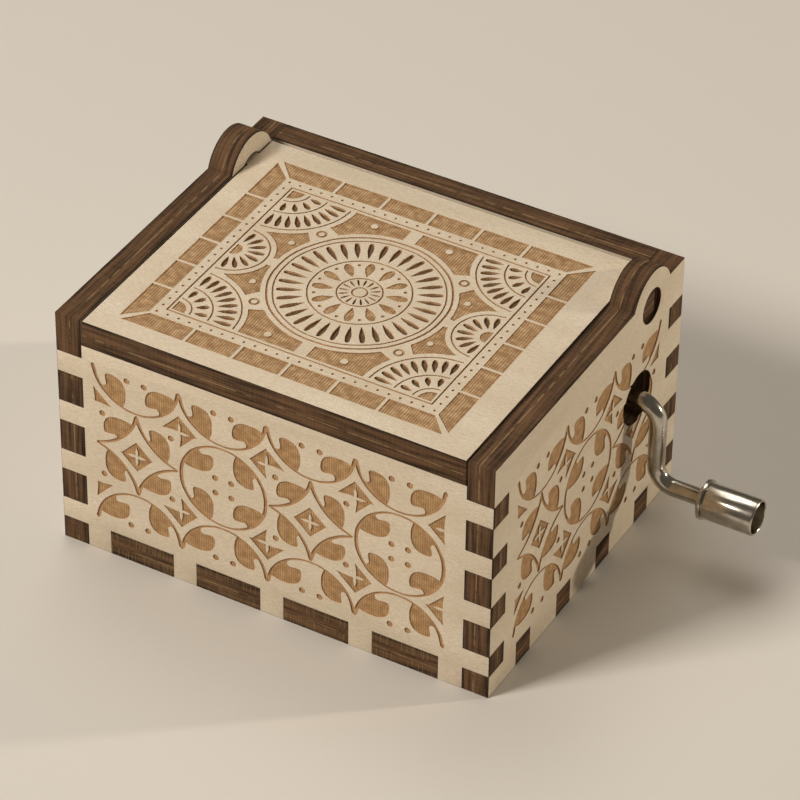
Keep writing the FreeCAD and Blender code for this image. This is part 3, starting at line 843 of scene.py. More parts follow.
def arc(u: float, v: float, radius: float, start: float, end: float) -> Outline:
    """Knots along an arc, its two ends as corners.

    Args:
        u: the arc's centre across.
        v: its centre along.
        radius: its radius.
        start: its first angle in degrees.
        end: its last angle in degrees.

    Returns:
        The knots.
    """
    knots = []
    for step in range(ARC_STEPS + 1):
        angle = math.radians(start + (end - start) * step / ARC_STEPS)
        knots.append((u + radius * math.cos(angle), v + radius * math.sin(angle),
                      0 < step < ARC_STEPS))
    return knots


def stroke(u: float, v: float, radius: float, start: float, end: float,
           widths: tuple[float, float, float], steps: int = ARC_STEPS) -> Outline:
    """A curved line whose width swells or thins along an arc.

    Args:
        u: the arc's centre across.
        v: the arc's centre along.
        radius: its radius.
        start: its first angle in degrees.
        end: its last angle in degrees.
        widths: the line's width at its start, middle and end, where it is pointed.
        steps: stretches along the arc.

    Returns:
        The outline.
    """
    outer, inner, tips = [], [], []
    for step in range(steps + 1):
        share = step / steps
        ends = widths[0] if share < 0.5 else widths[2]
        width = widths[1] + (ends - widths[1]) * (2 * share - 1) ** 2
        angle = math.radians(start + share * (end - start))
        between = 0 < step < steps
        for side, reach in ((outer, radius + width / 2), (inner, radius - width / 2)):
            side.append((u + reach * math.cos(angle), v + reach * math.sin(angle), between))
        if not between:
            onward = math.copysign(0.5 * width / radius, end - start) * (1 if step else -1)
            tip = angle + onward
            tips.append((u + radius * math.cos(tip), v + radius * math.sin(tip), False))
    return outer + [tips[1]] + inner[::-1] + [tips[0]]


@dataclass(frozen=True)
class Fan:
    """Pointed ovals spread evenly over an angle: how many, from where to where, and how wide."""

    count: int
    near: float
    far: float
    half_width: float
    shape: tuple[Knot, ...] = ((0.0, 0.0, False), (0.35, -0.75, True), (0.72, -1.0, True),
                               (1.0, 0.0, True), (0.72, 1.0, True), (0.35, 0.75, True))

    def petal(self, u: float, v: float, heading: float) -> Outline:
        """One oval along a ray.

        Args:
            u: the ray's start across.
            v: the ray's start along.
            heading: its angle in degrees.

        Returns:
            The outline.
        """
        ray = Vector((math.cos(math.radians(heading)), math.sin(math.radians(heading))))
        side = Vector((-ray.y, ray.x))
        length = self.far - self.near
        knots = []
        for along, out, smooth in self.shape:
            point = Vector((u, v)) + ray * (self.near + along * length)
            point += side * (out * self.half_width)
            knots.append((point.x, point.y, smooth))
        return knots

    def spread(self, u: float, v: float, start: float, end: float) -> list[Outline]:
        """All ovals.

        Args:
            u: the fan's centre across.
            v: its centre along.
            start: where its angle starts, in degrees.
            end: where it ends.

        Returns:
            One outline per oval.
        """
        pitch = (end - start) / self.count
        return [self.petal(u, v, start + (index + 0.5) * pitch) for index in range(self.count)]


@dataclass(frozen=True)
class CommaLeaf:
    """The curled leaf that hangs on a ring, in turns from its start and distances in mm."""

    knots: tuple[Knot, ...] = (
        (33.0, 6.32, False), (36.5, 5.90, True), (35.2, 5.45, True), (30.0, 5.20, True),
        (24.0, 5.02, True), (19.8, 4.78, True), (19.4, 4.35, True), (23.0, 3.68, True),
        (31.0, 3.15, True), (42.0, 2.92, True), (53.0, 3.05, True), (62.5, 3.45, True),
        (69.0, 4.25, True), (72.3, 5.25, True), (72.0, 6.40, False),
    )
    spine_turns: tuple[float, float] = (60.0, 45.0)

    def outline(self, u: float, v: float, quadrant: int, spine: float) -> Outline:
        """The leaf in one quarter of a ring.

        Args:
            u: the ring's centre across, in mm.
            v: its centre along, in mm.
            quadrant: 0 lower left, then on round anticlockwise.
            spine: how far out its back lies on the ring's line.

        Returns:
            The outline in mm.
        """
        start = 180 + 90 * quadrant
        placed = []
        backbone = tuple((turn, spine, True) for turn in self.spine_turns)
        for turn, reach, smooth in self.knots + backbone:
            angle = math.radians(start + turn)
            placed.append((u + reach * math.cos(angle), v + reach * math.sin(angle), smooth))
        return placed


@dataclass
class Engraving:
    """Outlines in mm that are sunk together: none of them may cross another."""

    depth: float
    floor: Layer
    outlines: list[Outline]
    clear: float = 0.3 * MM
    curve_steps: int = 5
    weld: float = 1e-7
    flat_from: float = 0.5

    def tool(self, shift: Vector) -> bpy.types.Object:
        """The solid that the cut takes away.

        Args:
            shift: from the outlines' origin to the board's, in metres.

        Returns:
            The solid, standing out of the show face at w = 0.
        """
        curve = bpy.data.curves.new("beam", "CURVE")
        curve.dimensions = "2D"
        curve.fill_mode = "BOTH"
        curve.resolution_u = self.curve_steps
        curve.extrude = (self.depth + self.clear) / 2
        for outline in self.outlines:
            spline = curve.splines.new("BEZIER")
            spline.bezier_points.add(len(outline) - 1)
            for knot, (u, v, smooth) in zip(spline.bezier_points, outline):
                knot.co = (u * MM, v * MM, 0)
                knot.handle_left_type = knot.handle_right_type = "AUTO" if smooth else "VECTOR"
            spline.use_cyclic_u = True
        made = bpy.data.objects.new("beam", curve)
        bpy.context.scene.collection.objects.link(made)
        made.location = shift + Vector((0, 0, (self.clear - self.depth) / 2))
        pick(made)
        bpy.ops.object.convert(target="MESH")
        made = bpy.context.object
        settle(made)
        bpy.ops.object.mode_set(mode="EDIT")
        bpy.ops.mesh.select_all(action="SELECT")
        bpy.ops.mesh.remove_doubles(threshold=self.weld)
        bpy.ops.mesh.normals_make_consistent(inside=False)
        bpy.ops.object.mode_set(mode="OBJECT")
        return made

    def sink(self, board: bpy.types.Object, shift: Vector) -> None:
        """Cut the outlines into a flat board's show face.

        Args:
            board: the board, with its show face at w = 0.
            shift: from the outlines' origin to the board's, in metres.
        """
        tool = self.tool(shift)
        dress(tool, board.data.materials)
        for face in tool.data.polygons:
            flat = abs(face.normal.z) > self.flat_from
            # Walls take the bank finish, whose lighter tones are a painted highlight.
            face.material_index = self.floor if flat else Layer.BANK
        combine(board, tool)


class Ornament:
    """An engraved pattern, sunk in cuts whose own outlines don't cross."""

    def cuts(self) -> list[Engraving]:
        """The cuts, in order."""
        raise NotImplementedError

    def sink(self, board: bpy.types.Object, shift: Vector) -> None:
        """Engrave the whole ornament.

        Args:
            board: the flat board.
            shift: from the ornament's origin to the board's, in metres.
        """
        for cut in self.cuts():
            cut.sink(board, shift)


@dataclass
class ScrollBand(Ornament):
    """The wall ornament: a row of rings and hollow diamonds between two rows of half rings.

    Its sizes are in mm. Even cells hold a hollow diamond, and odd ones a ring.
    """

    first_cell: float
    cells: int
    pitch: float = 12.98
    middle: float = 18.25
    half_ring_rise: float = 13.3
    half_ring: float = 6.45
    half_ring_trim: int = 7
    ring_outer: Span = (6.6, 6.45)
    ring_inner: Span = (6.05, 6.15)
    star_rise: float = 6.45
    star_shift: Span = (-0.1, -0.2)
    star_across: float = 2.45
    star_along: float = 2.35
    star_outward: float = 2.7
    star_inward: float = 2.35
    rib: float = 0.04
    rib_reach: float = 0.94
    petal_waist: Span = (0.34, 0.21)
    petal_reach: float = 0.62
    petal_root: float = 0.18
    flank_centre: float = 8.43
    flank_radius: float = 8.72
    flank_start: float = 14.2
    flank_end: float = 74.5
    bold: float = 0.62
    medium: float = 0.48
    fine: float = 0.30
    dot: float = 0.45
    rim_dot_side: float = 1.3
    upper_dot_rise: float = 11.7
    lower_dot_drop: float = 12.05
    ring_dots: Span = (1.2, 1.2)
    flank_dots: Span = (5.2, 5.0)
    half_ring_spine: float = 6.45
    ring_spine: float = 6.35
    flank_spine: float = 6.22
    flank_leaf_rise: float = 6.65
    leaf: CommaLeaf = field(default_factory=CommaLeaf)

    def centres(self) -> list[float]:
        """The cells' centres across."""
        return [self.first_cell + index * self.pitch for index in range(self.cells)]

    def star(self, u: float, v: float, reaches: Sequence[float]) -> list[Outline]:
        """A small sunk diamond round a raised four-petalled flower.

        Args:
            u: its centre across.
            v: its centre along.
            reaches: how far each quarter reaches, anticlockwise from the upper right, 0 for none.

        Returns:
            One outline, or the diamond's and the flower's where all quarters are sunk.
        """
        def placed(quarter: int, x: float, y: float) -> Span:
            """A point of a quarter, from its own two axes."""
            x, y = ((x, y), (-y, x), (-x, -y), (y, -x))[quarter % 4]
            return u + x, v + y
        first = next((q for q in range(4) if reaches[q] and not reaches[q - 1]), 0)
        run = [q % 4 for q in range(first, first + 4) if reaches[q % 4]]
        waist, swell = self.petal_waist
        root = self.petal_root
        outer, inner = [], []
        for q in run:
            reach = reaches[q]
            outer += [placed(q, reach, self.rib), placed(q, self.rib, self.rib_reach * reach)]
            before = [placed(q, waist * reach, swell)]
            before += [placed(q, self.petal_reach * reach, 0.0)] if reaches[q - 1] else []
            inner = [placed(q, swell, waist * reach), placed(q, root, root), *before, *inner]
        if len(run) == 4:
            return [polygon(outer), polygon(inner)]
        return [polygon(outer + inner)]

    def stars(self) -> list[Outline]:
        """All small diamonds: in the hollow diamonds, and between the cells.

        Returns:
            Their outlines.
        """
        shapes = []
        across, along = self.star_shift
        for u in self.centres()[::2]:
            shapes += self.star(u + across, self.middle + along,
                                (self.star_across, self.star_along) * 2)
        nearest = {(1, 1): 0, (-1, 1): 1, (-1, -1): 2, (1, -1): 3}
        for gap in range(self.cells + 1):
            u = self.first_cell + (gap - 0.5) * self.pitch
            for up in (-1, 1):
                quarters = [0.0, 0.0, 0.0, 0.0]
                for side, cell in ((-1, gap - 1), (1, gap)):
                    if 0 <= cell < self.cells:
                        quarters[nearest[(side, up)]] = self.star_outward
                        quarters[nearest[(side, -up)]] = self.star_inward if cell % 2 else 0.0
                shapes += self.star(u, self.middle + up * self.star_rise, quarters)
        return shapes

    def dots(self) -> list[Outline]:
        """The round pits.

        Returns:
            Their outlines.
        """
        places = []
        for index, u in enumerate(self.centres()):
            for side in (-1, 1):
                rim = u + side * self.rim_dot_side
                places += [(rim, self.middle + self.upper_dot_rise),
                           (rim, self.middle - self.lower_dot_drop)]
                across, rise = self.ring_dots if index % 2 else self.flank_dots
                places += [(u + side * across, self.middle + up * rise) for up in (-1, 1)]
        return [circle(u, v, self.dot) for u, v in places]

    def lines(self) -> Lots:
        """The lines, in three lots whose lines don't cross.

        Returns:
            The rings, then two lots of arcs.
        """
        rings, lots = [], ([], [])
        ends, taper = (self.bold, self.fine, self.bold), (self.bold, self.medium, self.fine)
        for index, u in enumerate(self.centres()):
            for up, start in ((1, 180 + self.half_ring_trim), (-1, self.half_ring_trim)):
                end = start + 180 - 2 * self.half_ring_trim
                lots[index % 2].append(stroke(u, self.middle + up * self.half_ring_rise,
                                              self.half_ring, start, end, ends, 8))
            if index % 2:
                rings += [circle(u, self.middle, *radii, 12)
                          for radii in (self.ring_outer, self.ring_inner)]
                continue
            for side, up, inward in ((1, 1, 180), (-1, 1, 360), (-1, -1, 0), (1, -1, 180)):
                way = side * up
                flank = stroke(u + side * self.flank_centre, self.middle + up * self.flank_centre,
                               self.flank_radius, inward + way * self.flank_start,
                               inward + way * self.flank_end, taper)
                lots[(way + 1) // 2].append(flank)
        return rings, *lots

    def leaves(self) -> list[Outline]:
        """The curled leaves, four to a ring, two to a half ring and four round a hollow diamond.

        Returns:
            Their outlines.
        """
        shapes = []
        for index, u in enumerate(self.centres()):
            for up, quadrants in ((1, (0, 1)), (-1, (2, 3))):
                v = self.middle + up * self.half_ring_rise
                shapes += [self.leaf.outline(u, v, quadrant, self.half_ring_spine)
                           for quadrant in quadrants]
            if index % 2:
                shapes += [self.leaf.outline(u, self.middle, quadrant, self.ring_spine)
                           for quadrant in range(4)]
                continue
            for side, up, quadrant in ((-1, 1, 1), (1, 1, 0), (-1, -1, 2), (1, -1, 3)):
                shapes.append(self.leaf.outline(u + side * self.pitch / 2,
                                                self.middle + up * self.flank_leaf_rise,
                                                quadrant, self.flank_spine))
        return shapes

    def cuts(self) -> list[Engraving]:
        """The cuts, each a hair deeper or shallower than the ones it touches.

        Returns:
            The cuts, in order.
        """
        rings, first, second = self.lines()
        return [Engraving(0.17 * MM, Layer.GROOVE, rings + self.dots()),
                Engraving(0.16 * MM, Layer.RASTER, self.stars()),
                Engraving(0.19 * MM, Layer.GROOVE, first),
                Engraving(0.18 * MM, Layer.GROOVE, second),
                Engraving(0.15 * MM, Layer.RASTER, self.leaves())]


@dataclass
class BlockBand:
    """The lid's border in mm: blocks with mitred corners, a row of dots and a thin line."""

    left: float = 7.4
    right: float = 55.4
    front: float = 3.1
    back: float = 43.6
    width: float = 2.9
    blocks: int = 6
    gap: float = 0.4
    mitre: float = 0.3
    dot: float = 0.2
    dot_inset: float = 0.8
    dot_pitch: float = 1.6
    line_inset: float = 1.6
    line: float = 0.24

    def inside(self, inset: float) -> tuple[float, float, float, float]:
        """Left, right, front and back of the rectangle this far in from the band."""
        inset += self.width
        return self.left + inset, self.right - inset, self.front + inset, self.back - inset

    def block_row(self, low: float, high: float, edge: float, inner: float,
                  turned: bool) -> list[Outline]:
        """One side of the band, with slanted ends at the corners.

        Args:
            low: the row's start along its side.
            high: its end.
            edge: place of its outer edge.
            inner: place of its inner edge.
            turned: True for the left and right sides.

        Returns:
            One outline per block.
        """
        pitch = (high - low - 2 * self.width) / self.blocks
        shapes = []
        for index in range(self.blocks):
            start = near = low + self.width + index * pitch + self.gap / 2
            end = far = low + self.width + (index + 1) * pitch - self.gap / 2
            if index == 0:
                start, near = low + 2 * self.mitre, low + self.width + self.mitre
            if index == self.blocks - 1:
                end, far = high - 2 * self.mitre, high - self.width - self.mitre
            points = [(start, edge), (end, edge), (far, inner), (near, inner)]
            shapes.append(polygon([(v, u) for u, v in points] if turned else points))
        return shapes

    def band(self) -> list[Outline]:
        """The four rows of blocks.

        Returns:
            One outline per block.
        """
        shapes = []
        for low, high, edges, turned in (
                (self.left, self.right, (self.front, self.back), False),
                (self.front, self.back, (self.left, self.right), True)):
            for edge, way in zip(edges, (1, -1)):
                shapes += self.block_row(low, high, edge, edge + way * self.width, turned)
        return shapes

    def dots(self) -> list[Outline]:
        """Small dots just inside the band.

        Returns:
            One outline per dot.
        """
        left, right, front, back = self.inside(self.dot_inset)
        across = round((right - left) / self.dot_pitch)
        along = round((back - front) / self.dot_pitch)
        places = []
        for index in range(across + 1):
            u = left + (right - left) * index / across
            places += [(u, front), (u, back)]
        for index in range(1, along):
            v = front + (back - front) * index / along
            places += [(left, v), (right, v)]
        return [circle(u, v, self.dot, knots=4) for u, v in places]

    def frame_line(self) -> list[Outline]:
        """The thin line round the middle field.

        Returns:
            Its outer and its inner edge.
        """
        shapes = []
        for inset in (self.line_inset, self.line_inset + self.line):
            left, right, front, back = self.inside(inset)
            shapes.append(polygon([(left, front), (right, front), (right, back), (left, back)]))
        return shapes


@dataclass
class LidPattern(Ornament):
    """The lid ornament in mm: a rosette between corner fans and side fans, in a block band."""

    border: BlockBand = field(default_factory=BlockBand)
    fine_line: float = 0.22
    clear: float = 0.8
    margin: float = 0.3
    rosette_rings: tuple[float, ...] = (1.0, 3.0, 6.8, 11.2)
    rosette_edge: float = 12.0
    rosette_line: float = 0.3
    rosette_petals: Fan = Fan(12, 3.4, 6.4, 0.6)
    rosette_rays: Fan = Fan(16, 1.3, 2.75, 0.15)
    rosette_slots: Fan = Fan(34, 7.3, 10.8, 0.38)
    bead_reach: float = 5.9
    bead: float = 0.24
    corner_rings: tuple[float, ...] = (2.6, 5.3)
    corner_edge: float = 9.0
    corner_trim: int = 2
    corner_pad: float = 1.9
    corner_fans: tuple[Fan, ...] = (Fan(4, 3.0, 4.9, 0.38), Fan(9, 5.8, 8.5, 0.38))
    side_edge: float = 4.8
    side_trim: int = 3
    side_pad: float = 1.2
    side_slots: Fan = Fan(8, 1.8, 4.3, 0.36)
    islands: tuple[tuple[float, float, float], ...] = ((-13.1, 4.9, 0.42), (-5.6, 13.6, 0.5))
    button: Span = (0.75, 0.4)

    def __post_init__(self) -> None:
        """Work out the middle field."""
        edge = self.border
        inset = edge.width + edge.line_inset + edge.line + self.margin
        self.u = (edge.left + edge.right) / 2
        self.v = (edge.front + edge.back) / 2
        self.half_u = (edge.right - edge.left) / 2 - inset
        self.half_v = (edge.back - edge.front) / 2 - inset
        self.diagonal = math.degrees(math.atan2(self.half_v, self.half_u))

    def rosette(self) -> Lots:
        """The middle rosette.

        Returns:
            Lines, shapes with a toasted floor, and dark slots.
        """
        u, v = self.u, self.v
        lines = []
        for radius in self.rosette_rings:
            lines += ring(u, v, radius, self.fine_line)
        lines += ring(u, v, self.rosette_edge, self.rosette_line)
        petals = self.rosette_petals
        for index in range(petals.count):
            turn = math.radians((index + 1) * 360 / petals.count)
            lines.append(circle(u + self.bead_reach * math.cos(turn),
                                v + self.bead_reach * math.sin(turn), self.bead))
        dark = self.rosette_rays.spread(u, v, 0, 360) + self.rosette_slots.spread(u, v, 0, 360)
        return lines, petals.spread(u, v, 0, 360), dark

    def corner(self, side: int, up: int) -> Lots:
        """A quarter fan in a corner.

        Args:
            side: -1 for the left, 1 for the right.
            up: -1 for the front, 1 for the back.

        Returns:
            Lines, shapes with a toasted floor, and dark slots.
        """
        u, v = self.u + side * self.half_u, self.v + up * self.half_v
        start = {(-1, -1): 0, (1, -1): 90, (1, 1): 180, (-1, 1): 270}[(side, up)]
        first, last = start + self.corner_trim, start + 90 - self.corner_trim
        lines = [stroke(u, v, radius, first, last, (self.fine_line,) * 3)
                 for radius in (*self.corner_rings, self.corner_edge)]
        pad = arc(u, v, self.corner_pad, start, start + 90) + [(u, v, False)]
        dark = [slot for fan in self.corner_fans for slot in fan.spread(u, v, start, start + 90)]
        return lines, [pad], dark

    def side_fan(self, side: int) -> Lots:
        """A half fan at the left or right.

        Args:
            side: -1 for the left, 1 for the right.

        Returns:
            Lines, shapes with a toasted floor, and dark slots.
        """
        u, v = self.u + side * self.half_u, self.v
        start = -90 if side < 0 else 90
        first, last = start + self.side_trim, start + 180 - self.side_trim
        line = stroke(u, v, self.side_edge, first, last, (self.fine_line,) * 3, 8)
        pad = arc(u, v, self.side_pad, start, start + 180)
        return [line], [pad], self.side_slots.spread(u, v, start, start + 180)

    def spandrels(self, side: int, up: int) -> list[Outline]:
        """The toasted ground between the fans and the rosette in one quarter of the field.

        Args:
            side: -1 for the left, 1 for the right.
            up: -1 for the front, 1 for the back.

        Returns:
            Outlines, some of them islands in others.
        """
        # Drawn for the back left quarter, from the field's middle. The angles are where each
        # arc, pushed out by the clear strip, meets the next one or the field's edge.
        rosette, corner = self.rosette_edge + self.clear, self.corner_edge + self.clear
        flank = arc(-self.half_u, 0, self.side_edge + self.clear, 72, 8)
        flank += arc(0, 0, rosette, 176, 189 - self.diagonal)
        flank += arc(-self.half_u, self.half_v, corner, -self.diagonal - 9, -74)
        crest = arc(0, 0, rosette, 94, 171 - self.diagonal)
        crest += arc(-self.half_u, self.half_v, corner, 9 - self.diagonal, -0.6)
        crest.append((-0.9, self.half_v - 0.1, False))
        gap = (rosette + math.hypot(self.half_u, self.half_v) - corner) / 2
        turn = math.radians(180 - self.diagonal)
        shapes = [flank, crest, *(circle(u, v, radius) for u, v, radius in self.islands)]
        shapes += [circle(gap * math.cos(turn), gap * math.sin(turn), radius)
                   for radius in self.button]
        return [[(self.u - side * u, self.v + up * v, smooth) for u, v, smooth in shape]
                for shape in shapes]

    def cuts(self) -> list[Engraving]:
        """The cuts: toasted grounds, then lines, then the dark slots.

        Returns:
            The cuts, in order.
        """
        corners = [(side, up) for side in (-1, 1) for up in (-1, 1)]
        parts = [self.rosette(), *(self.corner(*place) for place in corners),
                 self.side_fan(-1), self.side_fan(1)]
        lines, toasted, dark = ([shape for part in parts for shape in part[lot]]
                                for lot in range(3))
        for place in corners:
            toasted += self.spandrels(*place)
        lines += self.border.dots() + self.border.frame_line()
        return [Engraving(0.16 * MM, Layer.RASTER, self.border.band() + toasted),
                Engraving(0.18 * MM, Layer.GROOVE, lines),
                Engraving(0.30 * MM, Layer.DEEP, dark)]


# ---------------------------------------------------------------- plywood boards
@dataclass
class Board:
    """A plywood board, drawn flat with its show face at w = 0 and stood up afterwards.

    u runs to the right and v upwards as the show face is looked at, and w comes out of it.
    """

    name: str
    node: str
    body: str
    right: Vector
    up: Vector
    origin: Vector
    low: Span
    high: Span
    notches: list[Notch]
    ply: float
    end_grain: Span = (0.0, 0.0)
    easing: float = 0.07 * MM
    eased_from: float = 40.0
    smooth_below: float = 35.0
    flat_from: float = 0.99

    def blank(self) -> bpy.types.Object:
        """The flat slab."""
        return slab(self.name, Vector((*self.low, -self.ply)), Vector((*self.high, 0)))

    def notch(self, piece: bpy.types.Object, apart: bool = False) -> None:
        """Cut the notches through the slab.

        Args:
            piece: the slab.
            apart: True to cut them one by one, where some of them overlap.
        """
        tools = [slab("notch", Vector((left, low, -self.ply - SPARE)), Vector((right, high, SPARE)))
                 for left, right, low, high in self.notches]
        for tool in tools if apart else [join(tools)]:
            combine(piece, tool)

    def mark(self, piece: bpy.types.Object, materials: Sequence[bpy.types.Material]) -> None:
        """Give the flat faces the bare finish and everything else the burnt one.

        Args:
            piece: the flat board.
            materials: one finish per layer.
        """
        dress(piece, materials)
        for face in piece.data.polygons:
            flat = abs(face.normal.z) > self.flat_from
            face.material_index = Layer.FACE if flat else Layer.EDGE

    def ease(self, piece: bpy.types.Object) -> None:
        """Round the burnt rims a little."""
        run_modifier(piece, "BEVEL", width=self.easing, segments=2, limit_method="ANGLE",
                     angle_limit=math.radians(self.eased_from), material=int(Layer.EDGE))

    def stand(self, piece: bpy.types.Object) -> None:
        """Keep the flat places as an attribute, then move the board to where it belongs.

        Args:
            piece: the finished flat board.
        """
        places = piece.data.attributes.new(SHEET, "FLOAT_VECTOR", "POINT")
        flat = [0.0] * (3 * len(piece.data.vertices))
        piece.data.vertices.foreach_get("co", flat)
        places.data.foreach_set("vector", flat)
        ticks = piece.data.attributes.new(END_GRAIN, "FLOAT", "FACE")
        across, along = self.end_grain
        shares = [abs(face.normal.x) * across + abs(face.normal.y) * along
                  for face in piece.data.polygons]
        ticks.data.foreach_set("value", shares)
        out = self.right.cross(self.up)
        turn = Matrix((self.right, self.up, out)).transposed().to_4x4()
        piece.matrix_world = Matrix.Translation(self.origin) @ turn
        settle(piece)
        shade_smooth(piece, self.smooth_below)

    def enrol(self, piece: bpy.types.Object) -> None:
        """Attach the board to the body it rides on and hide the solid it stands for.

        Args:
            piece: the finished board.
        """
        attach(piece, self.body)
        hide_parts(self.node)
        LOG.info("%s: %d faces", piece.name, len(piece.data.polygons))

    def finish(self, piece: bpy.types.Object, materials: Sequence[bpy.types.Material],
               ornament: Ornament | None = None, corner: Span = (0.0, 0.0)) -> None:
        """Mark, ease and engrave the cut board, stand it up and enrol it.

        Args:
            piece: the flat board, with its notches and holes cut.
            materials: one finish per layer.
            ornament: what is engraved in its show face, if anything is.
            corner: where the ornament's origin lies on the board.
        """
        self.mark(piece, materials)
        self.ease(piece)
        if ornament is not None:
            ornament.sink(piece, Vector((*corner, 0)))
        self.stand(piece)
        self.enrol(piece)


@dataclass
class CaseLayout:
    """The case's driving sizes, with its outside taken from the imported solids."""

    corner_tabs: int = 4
    corner_tab_start: float = 3.5 * MM
    corner_tab_height: float = 3.35 * MM
    corner_tab_pitch: float = 8.08 * MM
    base_tabs: int = 4
    base_tab_front: float = 9.6 * MM
    base_tab_side: float = 3.7 * MM
    pivot_inset: float = 9.3 * MM
    pivot_radius: float = 2.5 * MM
    ear_radius: float = 5.4 * MM
    crank_from_front: float = 39.45 * MM
    crank_height: float = 21.9 * MM
    crank_hole: float = 3.8 * MM

    def __post_init__(self) -> None:
        """Read the outside sizes."""
        left_low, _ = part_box("left_panel")
        _, back_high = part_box("back_panel")
        _, base_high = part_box("base_plate")
        self.half_width = -left_low.x
        self.half_depth = -left_low.y
        self.height = back_high.z
        self.ply = base_high.z
        self.inner_half_width = self.half_width - self.ply
        self.inner_half_depth = self.half_depth - self.ply
        self.pivot_y = self.half_depth - self.pivot_inset
        self.pivot_z = self.height - self.ply / 2
        self.crank_y = self.crank_from_front - self.half_depth

    def corner_spans(self) -> list[Span]:
        """Heights of the end walls' tabs.

        Returns:
            Start and end of each tab.
        """
        lows = [self.corner_tab_start + index * self.corner_tab_pitch
                for index in range(self.corner_tabs)]
        return [(low, low + self.corner_tab_height) for low in lows]

    def base_spans(self, half: float, length: float) -> list[Span]:
        """Places of the base's tabs along an edge.

        Args:
            half: half the edge's length.
            length: a tab's length.

        Returns:
            Start and end of each tab.
        """
        foot = (2 * half - self.base_tabs * length) / (self.base_tabs + 1)
        lows = [-half + foot + index * (foot + length) for index in range(self.base_tabs)]
        return [(low, low + length) for low in lows]


def gaps(spans: Sequence[Span], low: float, high: float) -> list[Span]:
    """What lies between spans.

    Args:
        spans: starts and ends in rising order.
        low: where the whole begins.
        high: where it ends.

    Returns:
        The stretches outside the spans.
    """
    edges = [low] + [value for span in spans for value in span] + [high]
    return list(zip(edges[::2], edges[1::2]))


def end_notches(inner: float, half: float, spans: Sequence[Span]) -> list[Notch]:
    """Notches in both ends of a board, through its edges.

    Args:
        inner: how far from the board's middle the notches begin.
        half: half the board's width.
        spans: start and end of each notch along the edge.

    Returns:
        A notch at the left and one at the right for each span.
    """
    beyond = half + SPARE
    return [(*ends, *span) for span in spans for ends in ((-beyond, -inner), (inner, beyond))]


